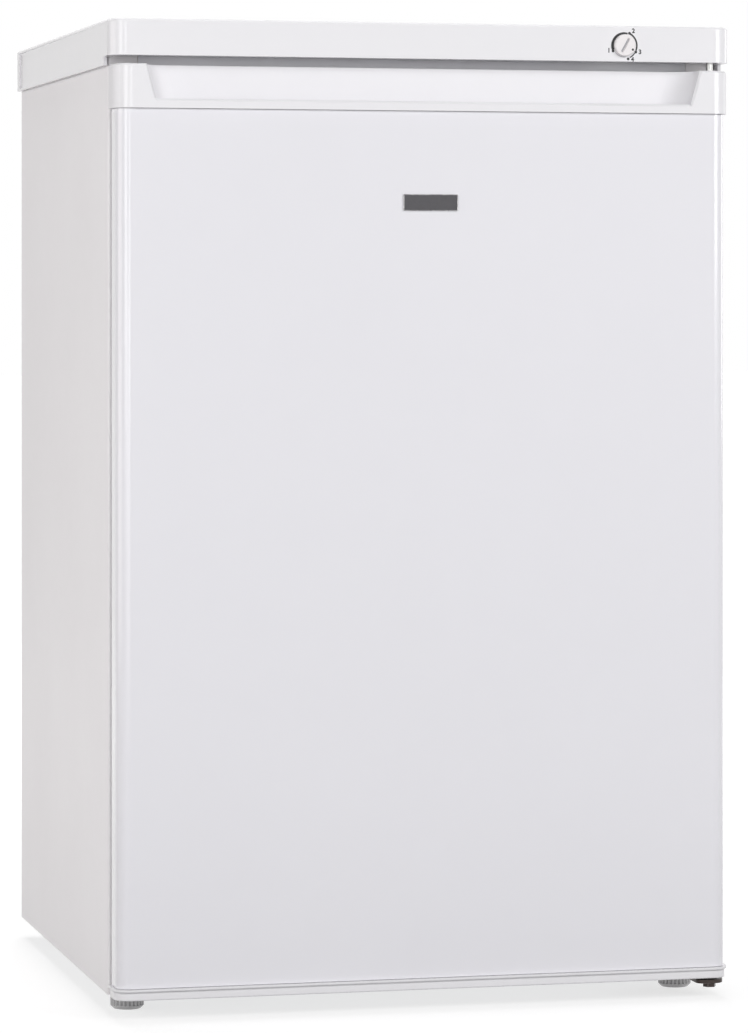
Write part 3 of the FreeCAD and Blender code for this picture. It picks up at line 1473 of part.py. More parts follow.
def condenser_tube():
    """Serpentine from the riser at the right, down run by run, to the drier in the niche."""
    foot = condenser_bottom - condenser_foot + slip
    points = [(riser_x, condenser_y, foot), (riser_x, condenser_y, condenser_top())]
    for run in range(condenser_runs):
        z = condenser_top() - run * condenser_pitch
        near, far = condenser_right, condenser_left
        if run % 2:
            near, far = far, near
        if run:
            points.append((near, condenser_y, z))
        points.append((far, condenser_y, z))
    drier_top = carrier_top + drier_lift + drier_length + drier_neck
    turn = drier_top + 24
    points[-1] = (drier_x, condenser_y, condenser_bottom)
    points += [(drier_x, condenser_y, turn), (drier_x, compressor_y, turn)]
    points.append((drier_x, compressor_y, drier_top + slip))
    return pipe(points, condenser_tube_r, condenser_bend)


def condenser_wire_grid():
    """Wires welded to both sides of the serpentine."""
    low, high = condenser_bottom - 14, condenser_top() + 14
    offset = condenser_tube_r + weld_gap + condenser_wire / 2
    wires = []
    for k in range(-wires_each_side, wires_each_side + 1):
        x = condenser_wire_pitch * k
        for side in (-1, 1):
            y = condenser_y + side * offset
            wires.append(polygon_bar(6, condenser_wire, V(x, y, low), V(x, y, high)))
    return wires


def bracket_places():
    rows = (condenser_bottom + condenser_pitch, condenser_top() - condenser_pitch)
    return [(side * bracket_x, z - 14) for side in (-1, 1) for z in rows]


def condenser_bracket(x, z_screw):
    """Clip that holds a condenser run off the cabinet's back."""
    y0 = cabinet_back - steel
    z = z_screw + 14
    half = bracket_width / 2
    foot = prism("XZ", rect(x - 8, x + 8, z_screw - 9, z + 8, 3), y0, y0 + lug_thickness)
    arm = block(x - half, x + half, y0, condenser_y, z - 2.5, z + 2.5)
    ring = Part.makeCylinder(clip_r, bracket_width, V(x - half, condenser_y, z), V(1, 0, 0))
    body = fused([foot, arm, ring])
    body = body.cut(Part.makeCylinder(condenser_tube_r + weld_gap, 30, V(x - 15, condenser_y, z), V(1, 0, 0)))
    body = body.cut(rod_y(screw_r + hole_gap, x, z_screw, y0 - 1, y0 + 9))
    mouth = block(x - 15, x + 15, condenser_y, condenser_y + 20, z - 1.8, z + 1.8)
    return body.cut(mouth)


# ---- Write every sub-part ----

def main():
    os.makedirs("parts", exist_ok=True)
    left = side_panel()
    save("side_panel_left", left)
    save("side_panel_right", mirrored(left))
    save("base_plate", base_plate())
    save("top_front_rail", top_front_rail())
    save("top_panel", top_panel())
    save("back_panel", back_panel())
    save("compressor_carrier", compressor_carrier())
    save("inner_liner", inner_liner())
    save("cabinet_insulation", cabinet_insulation())
    save("worktop_frame", worktop_frame())
    save("worktop_panel", worktop_panel())
    save("thermostat_bracket", thermostat_bracket())
    save("thermostat_body", thermostat_body())
    save("thermostat_spindle", thermostat_spindle())
    save("thermostat_knob", thermostat_knob())
    save("upper_hinge_bracket", upper_hinge_bracket())
    save("upper_hinge_pin", upper_hinge_pin())
    save("lower_hinge_bracket", lower_hinge_bracket())
    save("lower_hinge_pin", lower_hinge_pin())
    save("hinge_bushes", *hinge_bushes())
    save("hinge_plugs", *hinge_plugs())
    save("hinge_screws", *hinge_screws())
    save("cabinet_screws", *cabinet_screws())
    save("door_outer_panel", door_outer_panel())
    save("door_top_cap", door_top_cap())
    save("door_bottom_cap", door_bottom_cap())
    save("door_inner_liner", door_inner_liner())
    save("door_insulation", door_insulation())
    save("door_gasket", door_gasket())
    for name, height in zip(("lower", "middle", "upper"), shelf_heights):
        save(f"evaporator_shelf_{name}", *evaporator_shelf(height))
    save("evaporator_risers", *evaporator_risers())
    for name, (floor, top, back) in zip(("lower", "middle", "upper"), drawer_levels()):
        save(f"drawer_basket_{name}", drawer_basket(floor, top, back))
        save(f"drawer_front_{name}", drawer_front(floor, top))
    for name, side in (("left", -1), ("right", 1)):
        save(f"foot_{name}_pad", foot_pad(side * foot_x))
        save(f"foot_{name}_stud", foot_stud(side * foot_x))
    save("foot_inserts", foot_insert(-foot_x), foot_insert(foot_x))
    save("rear_feet", rear_foot(-rear_foot_x), rear_foot(rear_foot_x))
    save("compressor_lower_shell", compressor_lower_shell())
    save("compressor_upper_shell", compressor_upper_shell())
    save("compressor_foot_plate", compressor_foot_plate())
    save("compressor_grommets", *compressor_grommets())
    save("compressor_bolts", *compressor_bolts())
    save("terminal_cover", terminal_cover())
    save("cord_gland", cord_gland())
    save("filter_drier", filter_drier())
    save("capillary_tube", capillary_tube())
    save("suction_tube", suction_tube())
    save("discharge_tube", discharge_tube())
    save("condenser_tube", condenser_tube())
    save("condenser_wires", *condenser_wire_grid())
    save("condenser_brackets", *[condenser_bracket(x, z) for x, z in bracket_places()])


main()
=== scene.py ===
# Looks of an upright under-counter freezer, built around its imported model.
# Metres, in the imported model's frame: X to the right, Y from the door to the wall, Z up.
import json
import logging
import math
from dataclasses import dataclass, field
from enum import Enum
from functools import cache
from typing import ClassVar, Iterable, Sequence

import bpy
from mathutils import Matrix, Vector


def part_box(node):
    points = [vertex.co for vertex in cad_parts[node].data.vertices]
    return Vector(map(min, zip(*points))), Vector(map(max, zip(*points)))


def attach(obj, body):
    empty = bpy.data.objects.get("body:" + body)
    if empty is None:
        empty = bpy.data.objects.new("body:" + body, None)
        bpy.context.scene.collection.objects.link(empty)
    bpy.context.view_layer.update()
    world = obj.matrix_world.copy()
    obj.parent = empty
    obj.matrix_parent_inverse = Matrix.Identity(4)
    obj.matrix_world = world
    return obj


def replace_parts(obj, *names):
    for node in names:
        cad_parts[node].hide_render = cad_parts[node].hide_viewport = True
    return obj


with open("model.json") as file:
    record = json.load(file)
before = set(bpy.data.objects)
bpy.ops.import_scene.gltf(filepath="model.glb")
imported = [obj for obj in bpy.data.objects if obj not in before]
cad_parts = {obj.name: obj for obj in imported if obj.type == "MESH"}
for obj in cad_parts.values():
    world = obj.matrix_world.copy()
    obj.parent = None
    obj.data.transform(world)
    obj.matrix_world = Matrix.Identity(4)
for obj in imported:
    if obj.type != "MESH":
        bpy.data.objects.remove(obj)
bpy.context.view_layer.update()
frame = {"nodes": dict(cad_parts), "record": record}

MM = 0.001
MICRON = 0.001 * MM
Rgb = tuple[int, int, int]
Span = tuple[float, float]
Point = tuple[float, float, float]
Names = tuple[str, ...]
Node = bpy.types.Node
Socket = bpy.types.NodeSocket
log = logging.getLogger("freezer")


def linear(tone: Rgb) -> tuple[float, float, float, float]:
    """Turns a display tone into the linear colour that shaders take.

    Args:
        tone: Red, green and blue from 0 to 255, as seen on a display.

    Returns:
        Linear red, green, blue and a full alpha.
    """
    shares = [value / 255 for value in tone]
    plain = [s / 12.92 if s <= 0.04045 else ((s + 0.055) / 1.055) ** 2.4 for s in shares]
    return (*plain, 1.0)


class Sheet:
    """Short ways to place and join the nodes of one node tree."""

    def __init__(self, tree: bpy.types.NodeTree) -> None:
        """Starts on a tree, which keeps the nodes that it has."""
        self.tree = tree

    def add(self, kind: str, settings: dict | None = None, **inputs: object) -> Node:
        """Places a node and fills its sockets.

        Args:
            kind: Blender's name of the node type, without the ShaderNode at its front.
            settings: Properties of the node itself.
            **inputs: Socket names, with _ for a space, and a value or a socket to join from.

        Returns:
            The new node.
        """
        node = self.tree.nodes.new(kind if kind.startswith("NodeGroup") else "ShaderNode" + kind)
        for name, value in (settings or {}).items():
            setattr(node, name, value)
        for name, value in inputs.items():
            self.feed(node.inputs[name.replace("_", " ")], value)
        return node

    def feed(self, socket: Socket, value: object) -> None:
        """Sets a socket, or joins another socket to it.

        Args:
            socket: Input socket to fill.
            value: A constant, or an output socket.
        """
        if isinstance(value, Socket):
            self.tree.links.new(value, socket)
        else:
            socket.default_value = value

    def work(self, kind: str, operation: str, *values: object) -> Node:
        """Places a node that calculates.

        Args:
            kind: Math or VectorMath.
            operation: Blender's name of the operation.
            *values: Values or sockets for its first inputs.

        Returns:
            The new node.
        """
        node = self.add(kind, {"operation": operation})
        for socket, value in zip(node.inputs, values):
            self.feed(socket, value)
        return node

    def plus(self, first: object, second: object) -> Socket:
        """Adds two values or sockets."""
        return self.work("Math", "ADD", first, second).outputs[0]

    def times(self, first: object, second: object) -> Socket:
        """Multiplies two values or sockets."""
        return self.work("Math", "MULTIPLY", first, second).outputs[0]

    def larger(self, first: object, second: object) -> Socket:
        """Gives the larger of two values or sockets."""
        return self.work("Math", "MAXIMUM", first, second).outputs[0]

    def span(self, value: object, low: float, high: float, to_low: float = 0.0,
             to_high: float = 1.0) -> Socket:
        """Maps a range of a value smoothly onto another, with the ends held.

        Args:
            value: Value or socket to map.
            low: Value that gives to_low.
            high: Value that gives to_high.
            to_low: Result at the low end.
            to_high: Result at the high end.

        Returns:
            The mapped value's socket.
        """
        ends = {"From_Min": low, "From_Max": high, "To_Min": to_low, "To_Max": to_high}
        node = self.add("MapRange", {"interpolation_type": "SMOOTHSTEP"}, Value=value, **ends)
        return node.outputs[0]

    def mix(self, share: object, first: object, second: object) -> Socket:
        """Mixes two colours.

        Args:
            share: How much of the second colour, from 0 to 1.
            first: First colour or socket.
            second: Second colour or socket.

        Returns:
            The mixed colour's socket.
        """
        node = self.add("Mix", {"data_type": "RGBA"})
        for number, value in ((0, share), (6, first), (7, second)):   # its factor and its colours
            self.feed(node.inputs[number], value)
        return node.outputs[2]

    def place(self) -> Socket:
        """Gives the point's place in its own object, which moves with it."""
        return self.add("TexCoord").outputs["Object"]

    def axis(self, vector: Socket, number: int) -> Socket:
        """Gives one coordinate of a vector: 0 for X, 1 for Y, 2 for Z."""
        return self.add("SeparateXYZ", Vector=vector).outputs[number]

    def scale(self, pitch: object) -> Socket:
        """Turns a pitch, in metres or from a socket, into a texture's scale."""
        return self.work("Math", "DIVIDE", 1.0, pitch).outputs[0]

    def noise(self, pitch: object, detail: float = 2.0, stretch: Point = (1, 1, 1)) -> Socket:
        """Places a noise of a pitch, some finer layers of detail and a squeeze along X, Y and Z."""
        place = self.add("Mapping", Vector=self.place(), Scale=stretch).outputs[0]
        return self.add("TexNoise", Vector=place, Scale=self.scale(pitch), Detail=detail).outputs[0]

    def cells(self, pitch: object, feature: str = "F1") -> Node:
        """Places a pattern of cells that are about a pitch wide."""
        return self.add("TexVoronoi", {"feature": feature}, Vector=self.place(), Scale=self.scale(pitch))


class Effect(Enum):
    """Surface effects that several finishes share: name, inputs and outputs of each node group."""

    TONE_DRIFT = ("tone_drift", ("Tone", "Shade", "Pitch"), ("Color",))
    SHEEN_DRIFT = ("sheen_drift", ("Roughness", "Spread", "Pitch"), ("Roughness",))
    PAINT_RIPPLE = ("paint_ripple", ("Pitch",), ("Height",))
    MOULD_GRAIN = ("mould_grain", ("Pitch",), ("Height",))
    DRAWN_LINES = ("drawn_lines", ("Pitch",), ("Height", "Mask"))
    SPANGLE = ("zinc_spangle", ("Pitch",), ("Height", "Mask"))
    # edge mask: chipped wear on lacquer; on metal, wear together with a painted highlight
    WORN_EDGE = ("worn_edge", ("Radius", "Pitch"), ("Mask", "Normal"))
    SETTLED_DUST = ("settled_dust", ("Amount", "Pitch"), ("Mask",))


class EffectGroup(Sheet):
    """Node group of one effect, filled by the method that has the effect's name."""

    kinds: ClassVar[dict[str, str]] = {
        "Tone": "Color", "Shade": "Color", "Color": "Color", "Normal": "Vector",
    }
    mottle_pitch: ClassVar[float] = 0.12    # share of the tone drift's
    mottle_share: ClassVar[float] = 0.3
    peel_pitch: ClassVar[float] = 0.3       # fine ripple's, share of the broad one's
    peel_height: ClassVar[float] = 0.35     # the same
    swell_pitch: ClassVar[float] = 25.0     # slow swell under the grain, in grains
    line_stretch: ClassVar[Point] = (0.04, 1.0, 1.0)
    wipe_stretch: ClassVar[Point] = (1.0, 1.0, 0.5)
    spangle_height: ClassVar[float] = 0.5
    bevel_samples: ClassVar[int] = 4
    edge_turn: ClassVar[Span] = (0.995, 0.9)   # cosines of the turn where an edge starts and is full
    facing_up: ClassVar[Span] = (0.55, 1.0)    # heights of the normal where dust starts and is full

    def __init__(self, effect: Effect) -> None:
        """Makes the group's sockets and fills the group.

        Args:
            effect: Which effect.
        """
        name, inputs, outputs = effect.value
        super().__init__(bpy.data.node_groups.new(name, "ShaderNodeTree"))
        for way, sockets in (("INPUT", inputs), ("OUTPUT", outputs)):
            for socket in sockets:
                kind = "NodeSocket" + self.kinds.get(socket, "Float")
                self.tree.interface.new_socket(socket, in_out=way, socket_type=kind)
        self.given = self.add("NodeGroupInput").outputs
        self.results = self.add("NodeGroupOutput").inputs
        self.pitch = self.given["Pitch"]
        getattr(self, name)()

    @staticmethod
    @cache
    def tree_of(effect: Effect) -> bpy.types.NodeTree:
        """Gives the node group of an effect, built on first use."""
        return EffectGroup(effect).tree

    def give(self, **results: Socket) -> None:
        """Joins results to the group's outputs of the same names."""
        for name, result in results.items():
            self.feed(self.results[name], result)

    def tone_drift(self) -> None:
        """Makes a slow change between two tones, with a finer mottle over it."""
        slow = self.noise(self.pitch, detail=3.0)
        fine = self.noise(self.times(self.pitch, self.mottle_pitch))
        both = self.plus(self.times(slow, 1 - self.mottle_share), self.times(fine, self.mottle_share))
        share = self.span(both, low=0.2, high=0.8)
        self.give(Color=self.mix(share, self.given["Tone"], self.given["Shade"]))

    def sheen_drift(self) -> None:
        """Makes a roughness that varies as on a surface wiped by hand."""
        wiped = self.noise(self.pitch, stretch=self.wipe_stretch)
        swing = self.span(wiped, low=0.1, high=0.9, to_low=-1.0)
        self.give(Roughness=self.plus(self.given["Roughness"], self.times(swing, self.given["Spread"])))

    def paint_ripple(self) -> None:
        """Makes the orange peel of a sprayed or rolled coat of paint."""
        broad = self.noise(self.pitch, detail=1.0)
        fine = self.noise(self.times(self.pitch, self.peel_pitch), detail=1.0)
        self.give(Height=self.plus(broad, self.times(fine, self.peel_height)))

    def mould_grain(self) -> None:
        """Makes the fine pebbled grain that a mould leaves on plastic."""
        swell = self.noise(self.times(self.pitch, self.swell_pitch))
        self.give(Height=self.plus(self.cells(self.pitch, "SMOOTH_F1").outputs[0], swell))

    def drawn_lines(self) -> None:
        """Makes fine lines along X, left by rolling or drawing."""
        lines = self.noise(self.pitch, detail=3.0, stretch=self.line_stretch)
        self.give(Height=lines, Mask=self.span(lines, low=0.35, high=0.65))

    def zinc_spangle(self) -> None:
        """Makes the crystal patches of a hot-dip zinc coat."""
        patch = self.cells(self.pitch).outputs
        grey = self.add("SeparateColor", Color=patch["Color"]).outputs[0]
        self.give(Mask=grey, Height=self.times(patch["Distance"], self.spangle_height))

    def worn_edge(self) -> None:
        """Makes a mask of the outer edges, broken up as handling wears them, and a rounded normal; metal
        lightens its edges by this mask, as wear and as a painted highlight.
        """
        soft = self.add("Bevel", {"samples": self.bevel_samples}, Radius=self.given["Radius"]).outputs[0]
        sharp = self.add("NewGeometry").outputs["Normal"]
        turn = self.work("VectorMath", "DOT_PRODUCT", soft, sharp).outputs["Value"]
        broken = self.span(self.noise(self.pitch, detail=4.0), low=0.4, high=0.6)
        self.give(Mask=self.times(self.span(turn, *self.edge_turn), broken), Normal=soft)

    def settled_dust(self) -> None:
        """Makes a mask of thin, patchy dust on what faces up."""
        up = self.axis(self.add("NewGeometry").outputs["Normal"], 2)
        patchy = self.span(self.noise(self.pitch, detail=5.0), low=0.3, high=0.75, to_low=0.3)
        lying = self.times(self.span(up, *self.facing_up), patchy)
        self.give(Mask=self.times(lying, self.given["Amount"]))


@dataclass(frozen=True)
class Finish:
    """A surface finish, from which a procedural material is built once."""

    name: str
    tone: Rgb
    shade: Rgb
    roughness: float
    spread: float = 0.05            # how far roughness drifts either way
    drift: float = 180 * MM         # pitch of the drift in tone
    grain: float = 3 * MM           # pitch of the fine relief
    depth: float = 20 * MICRON      # its depth
    relief: ClassVar[Effect] = Effect.PAINT_RIPPLE
    wipe: ClassVar[float] = 0.7     # pitch of the drift in roughness, share of the tone's

    @cache
    def material(self) -> bpy.types.Material:
        """Gives the finish's material, built on first use.

        Returns:
            The material.
        """
        made = bpy.data.materials.new(self.name)
        made.use_nodes = True
        made.node_tree.nodes.clear()
        made.diffuse_color = linear(self.tone)
        sheet = Sheet(made.node_tree)
        shader = sheet.add("BsdfPrincipled", Base_Color=self.tint(sheet), Roughness=self.gloss(sheet),
                           Normal=self.texture(sheet), **self.constants())
        sheet.add("OutputMaterial", Surface=shader.outputs[0])
        return made

    @staticmethod
    def effect(sheet: Sheet, effect: Effect, **inputs: object) -> Node:
        """Places a shared effect, with values or sockets for its inputs."""
        return sheet.add("Group", {"node_tree": EffectGroup.tree_of(effect)}, **inputs)

    def tint(self, sheet: Sheet) -> Socket:
        """Gives the drifting base colour."""
        tones = {"Tone": linear(self.tone), "Shade": linear(self.shade)}
        return self.effect(sheet, Effect.TONE_DRIFT, **tones, Pitch=self.drift).outputs[0]

    def gloss(self, sheet: Sheet) -> Socket:
        """Gives the roughness, which drifts as on a wiped surface."""
        sheen = {"Roughness": self.roughness, "Spread": self.spread, "Pitch": self.drift * self.wipe}
        return self.effect(sheet, Effect.SHEEN_DRIFT, **sheen).outputs[0]

    def pattern(self, sheet: Sheet) -> Node:
        """Places the relief, which has a height and, on metal, a mask."""
        return self.effect(sheet, self.relief, Pitch=self.grain)

    def under(self, sheet: Sheet) -> dict[str, Socket]:
        """Gives the normal under the relief, where it isn't the surface's own."""
        return {}

    def texture(self, sheet: Sheet) -> Socket:
        """Gives the normal with the finish's relief."""
        relief = {"Height": self.pattern(sheet).outputs["Height"], "Distance": self.depth, "Strength": 1.0}
        return sheet.add("Bump", **relief, **self.under(sheet)).outputs[0]

    def constants(self) -> dict[str, float]:
        """Gives the shader's even settings by socket name."""
        return {}


@dataclass(frozen=True)
class SoftEdged(Finish):
    """Finish whose sharp edges are softened under its relief."""

    edge: float = 0.6 * MM          # radius to which the edges are softened
    wear: float = 10 * MM           # pitch at which their wear is broken up

    def edges(self, sheet: Sheet) -> Node:
        """Places the edge effect, which has a mask and a normal."""
        return self.effect(sheet, Effect.WORN_EDGE, Radius=self.edge, Pitch=self.wear)

    def under(self, sheet: Sheet) -> dict[str, Socket]:
        """Lays the relief over the softened edges."""
        return {"Normal": self.edges(sheet).outputs["Normal"]}


@dataclass(frozen=True)
class Paint(Finish):
    """Glossy coat on sheet steel, slightly rippled."""

    coat: float = 0.35
    coat_roughness: float = 0.12

    def constants(self) -> dict[str, float]:
        """Gives the clear top of the coat."""
        return {"Coat Weight": self.coat, "Coat Roughness": self.coat_roughness}


@dataclass(frozen=True)
class Moulding(SoftEdged):
    """Moulded or formed plastic, the freezer's glossy white where nothing else is given."""

    tone: Rgb = (241, 240, 243)
    shade: Rgb = (239, 238, 241)
    roughness: float = 0.18
    spread: float = 0.02
    grain: float = 0.9 * MM
    depth: float = 3 * MICRON
    shine: float = 0.5              # strength of its reflections
    refraction: float = 1.5
    relief: ClassVar[Effect] = Effect.MOULD_GRAIN

    def constants(self) -> dict[str, float]:
        """Gives the refraction of styrene plastics."""
        return {"IOR": self.refraction, "Specular IOR Level": self.shine}


@dataclass(frozen=True)
class GripMoulding(Moulding):
    """Glossy moulding whose hand grip, set back behind its face, is satin."""

    satin: float = 0.5
    grip: Span = (-277.5 * MM, -275.5 * MM)   # Y where the gloss ends and where the satin is full

    def gloss(self, sheet: Sheet) -> Socket:
        """Raises the roughness inside the grip."""
        inside = sheet.span(sheet.axis(sheet.place(), 1), *self.grip, 0.0, self.satin)
        return sheet.larger(super().gloss(sheet), inside)


@dataclass(frozen=True)
class FlutedMoulding(Moulding):
    """Moulding of a round fluted grip, with painted shade down in its flutes."""

    # dark colour painted down in the flutes as their shade
    grime: Rgb = (22, 21, 22)
    flakes: float = 0.6             # share of metal flakes in the plastic
    flute: Span = (0.455, 0.492)    # bottom and top of a flute, in widths of the grip
    foot: Span = (0.14, 0.2)        # where the flutes start, in heights of the grip
    head: Span = (0.9, 0.86)        # where they end

    def tint(self, sheet: Sheet) -> Socket:
        """Darkens the flutes with painted shade.

        Args:
            sheet: Sheet of the material's tree.

        Returns:
            The colour's socket.
        """
        place = sheet.add("TexCoord").outputs["Generated"]
        flat, centre = (1.0, 1.0, 0.0), (-0.5, -0.5, 0.0)
        across = sheet.work("VectorMath", "MULTIPLY_ADD", place, flat, centre).outputs[0]
        radius = sheet.work("VectorMath", "LENGTH", across).outputs["Value"]
        level = sheet.axis(place, 2)
        side = sheet.times(sheet.span(level, *self.foot), sheet.span(level, *self.head))
        # painted shade: how far down in a flute the point lies, where the grip is fluted
        deep = sheet.times(sheet.span(radius, *self.flute, 1.0, 0.0), side)
        return sheet.mix(deep, super().tint(sheet), linear(self.grime))

    def constants(self) -> dict[str, float]:
        """Gives the plastic its metal flakes."""
        return {**super().constants(), "Metallic": self.flakes}


@dataclass(frozen=True)
class Metal(SoftEdged):
    """Bare or plated metal, lighter at its edges: partly rubbed wear, partly a painted highlight."""

    # lighter edge colour: partly rubbed wear, partly a painted highlight
    rubbed: Rgb = (214, 214, 212)
    streaks: float = 0.5            # how strongly its pattern shows
    relief: ClassVar[Effect] = Effect.DRAWN_LINES

    def tint(self, sheet: Sheet) -> Socket:
        """Adds the metal's own pattern and its edges, lightened as rubbed wear and as a painted highlight.

        Args:
            sheet: Sheet of the material's tree.

        Returns:
            The colour's socket.
        """
        share = sheet.times(self.pattern(sheet).outputs["Mask"], self.streaks)
        streaked = sheet.mix(share, super().tint(sheet), linear(self.shade))
        return sheet.mix(self.edges(sheet).outputs["Mask"], streaked, linear(self.rubbed))

    def constants(self) -> dict[str, float]:
        """Makes the shader a metal."""
        return {"Metallic": 1.0}


@dataclass(frozen=True)
class Galvanised(Metal):
    """Zinc-dipped sheet with its crystal patches."""

    relief: ClassVar[Effect] = Effect.SPANGLE


@dataclass(frozen=True)
class Lacquer(SoftEdged):
    """Dark stoved lacquer, faintly dusty on top and chipped a little at its edges."""

    dust: float = 0.2
    dust_pitch: float = 12 * MM
    dust_tone: Rgb = (150, 146, 140)
    chips: float = 0.4              # how far the edges are chipped
    bare: Rgb = (120, 120, 122)

    def lying(self, sheet: Sheet) -> Socket:
        """Gives the mask of the dust."""
        return self.effect(sheet, Effect.SETTLED_DUST, Amount=self.dust, Pitch=self.dust_pitch).outputs[0]

    def tint(self, sheet: Sheet) -> Socket:
        """Adds chips and dust.

        Args:
            sheet: Sheet of the material's tree.

        Returns:
            The colour's socket.
        """
        chips = sheet.times(self.edges(sheet).outputs["Mask"], self.chips)
        chipped = sheet.mix(chips, super().tint(sheet), linear(self.bare))
        return sheet.mix(self.lying(sheet), chipped, linear(self.dust_tone))

    def gloss(self, sheet: Sheet) -> Socket:
        """Dulls the lacquer under the dust."""
        return sheet.plus(super().gloss(sheet), self.lying(sheet))


@dataclass(frozen=True)
class Rubber(Finish):
    """Soft seal or mount, dull and finely grained."""

    bloom: float = 0.15
    shine: float = 0.35
    relief: ClassVar[Effect] = Effect.MOULD_GRAIN

    def constants(self) -> dict[str, float]:
        """Gives the dull bloom of rubber."""
        return {"Sheen Weight": self.bloom, "Specular IOR Level": self.shine}


@dataclass(frozen=True)
class Clear(Finish):
    """Clear moulded plastic with a slight tint."""

    clearness: float = 0.92
    refraction: float = 1.49
    relief: ClassVar[Effect] = Effect.MOULD_GRAIN

    def constants(self) -> dict[str, float]:
        """Lets light through."""
        return {"Transmission Weight": self.clearness, "IOR": self.refraction}


class Look(Enum):
    """Every finish on the freezer; those named after a material slot are what the slot takes.

    The columns are name, tone, shade, roughness, its spread, drift, and grain and depth of the relief.
    """

    WHITE_STEEL = Paint("white_door_steel", (237, 236, 241), (235, 234, 239), 0.2, 0.02,
                        350 * MM, 4.5 * MM, 8 * MICRON)
    SIDE_STEEL = Paint("side_panel_steel", (247, 244, 246), (244, 241, 243), 0.4, 0.04,
                       120 * MM, 2.2 * MM, 30 * MICRON, coat=0.08)
    BACK_STEEL = Paint("back_panel_steel", (196, 198, 200), (188, 190, 193), 0.5, 0.06,
                       depth=30 * MICRON, coat=0.0)
    WHITE_PLASTIC = Moulding("white_moulding")
    TOP_CAP = GripMoulding("door_cap_moulding")
    BOTTOM_CAP = Moulding("lower_cap_moulding", edge=1.8 * MM)
    KNOB = Moulding("knob_moulding", (242, 238, 239), (239, 235, 236), 0.3, 0.03, 10 * MM, 0.7 * MM)
    WORKTOP_BOARD = Moulding("worktop_laminate", (241, 241, 242), (238, 238, 240), 0.55, 0.04,
                             grain=1.6 * MM, depth=30 * MICRON, shine=0.2)
    LINER_PLASTIC = Moulding("formed_liner", (238, 240, 243), (235, 237, 241), 0.22, 0.03,
                             grain=2 * MM, depth=10 * MICRON, edge=1 * MM)
    DRAWER_PLASTIC = Moulding("drawer_moulding", (232, 236, 240), (228, 233, 237), 0.3, 0.04,
                              grain=1.2 * MM, depth=8 * MICRON)
    GREY_PLASTIC = Moulding("grey_moulding", (204, 205, 207), (196, 197, 200), 0.4, 0.06,
                            20 * MM, 0.8 * MM, 10 * MICRON)
    FOOT = FlutedMoulding("foot_moulding", (182, 181, 182), (164, 163, 164), 0.2, 0.04,
                          20 * MM, 0.8 * MM, 5 * MICRON)
    BLACK_PLASTIC = Moulding("black_moulding", (38, 38, 40), (46, 46, 48), 0.45, 0.06,
                             30 * MM, 0.8 * MM, 20 * MICRON)
    GALVANISED = Galvanised("galvanised_steel", (176, 179, 182), (150, 154, 158), 0.42, 0.1,
                            50 * MM, 12 * MM, 30 * MICRON)
    ZINC = Metal("zinc_plate", (188, 188, 184), (160, 161, 160), 0.3, 0.08, 20 * MM, 0.6 * MM, 10 * MICRON)
    # the hinge plate's dark tones are painted shade, from the shadow under the door; its light rim is a
    # painted highlight
    HINGE_STEEL = Metal("hinge_plate_painted_shade", (84, 76, 73), (60, 54, 52), 0.34, 0.08,
                        15 * MM, 0.7 * MM, 10 * MICRON, rubbed=(144, 138, 136))
    COPPER = Metal("copper_pipe", (196, 128, 96), (158, 94, 68), 0.3, 0.1,
                   20 * MM, 1 * MM, 10 * MICRON, rubbed=(224, 160, 124))
    ALUMINIUM_TUBE = Metal("aluminium_tube", (204, 206, 208), (180, 183, 186), 0.36, 0.08,
                           30 * MM, 0.8 * MM, 10 * MICRON)
    WHITE_TUBE = Paint("white_coated_tube", (236, 238, 240), (230, 233, 236), 0.34, 0.05,
                       40 * MM, 1.6 * MM, 30 * MICRON, coat=0.2)
    BLACK_STEEL = Lacquer("black_lacquer", (30, 30, 32), (38, 38, 41), 0.32, 0.06,
                          50 * MM, 3 * MM, 30 * MICRON)
    WHITE_RUBBER = Rubber("white_seal", (242, 241, 242), (236, 235, 236), 0.5, 0.05,
                          30 * MM, 0.7 * MM, 10 * MICRON)
    BLACK_RUBBER = Rubber("mount_rubber", (34, 34, 35), (44, 43, 43), 0.7, 0.08,
                          10 * MM, 0.7 * MM, 30 * MICRON)
    FOAM = Rubber("yellow_foam", (222, 200, 148), (204, 178, 122), 0.9, 0.05,
                  20 * MM, 1.2 * MM, 400 * MICRON)
    CLEAR_PLASTIC = Clear("clear_drawer_front", (241, 246, 248), (237, 243, 246), 0.08, 0.03,
                          grain=4 * MM, depth=10 * MICRON)
    INK = Paint("printed_ink", (20, 20, 22), (32, 32, 35), 0.5, 0.05, 3 * MM, 0.3 * MM, 4 * MICRON, coat=0.0)
    # grey: printed on the dial, and also used as the painted shade in the knob's slot
    PALE_INK = Paint("pale_ink_and_slot_shade", (172, 172, 176), (160, 160, 164), 0.5, 0.05,
                     3 * MM, 0.3 * MM, 4 * MICRON, coat=0.0)
    PLATE = Paint("plate_face", (70, 68, 72), (60, 59, 63), 0.34, 0.05,
                  10 * MM, 0.4 * MM, 6 * MICRON, coat=0.2)
    PLATE_RIM = Metal("plate_rim", (150, 149, 150), (122, 121, 124), 0.3, 0.05,
                      6 * MM, 0.4 * MM, 4 * MICRON, rubbed=(210, 210, 210))


def place_in_scene(name: str, data: bpy.types.ID) -> bpy.types.Object:
    """Puts an object into the scene.

    Args:
        name: Name of the object.
        data: Its mesh, curve, lamp or camera.

    Returns:
        The new object.
    """
    made = bpy.data.objects.new(name, data)
    bpy.context.scene.collection.objects.link(made)
    return made


def seat(name: str, mesh: bpy.types.Mesh, body: str, looks: Iterable[Look]) -> bpy.types.Object:
    """Turns a mesh into a piece that rides on a body.

    Args:
        name: Name of the piece.
        mesh: Its mesh.
        body: Body that it moves with.
        looks: Its finishes, in the order of the mesh's material numbers.

    Returns:
        The new piece.
    """
    piece = place_in_scene(name, mesh)
    for look in looks:
        mesh.materials.append(look.value.material())
    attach(piece, body)
    log.info("built %s on %s", name, body)
    return piece


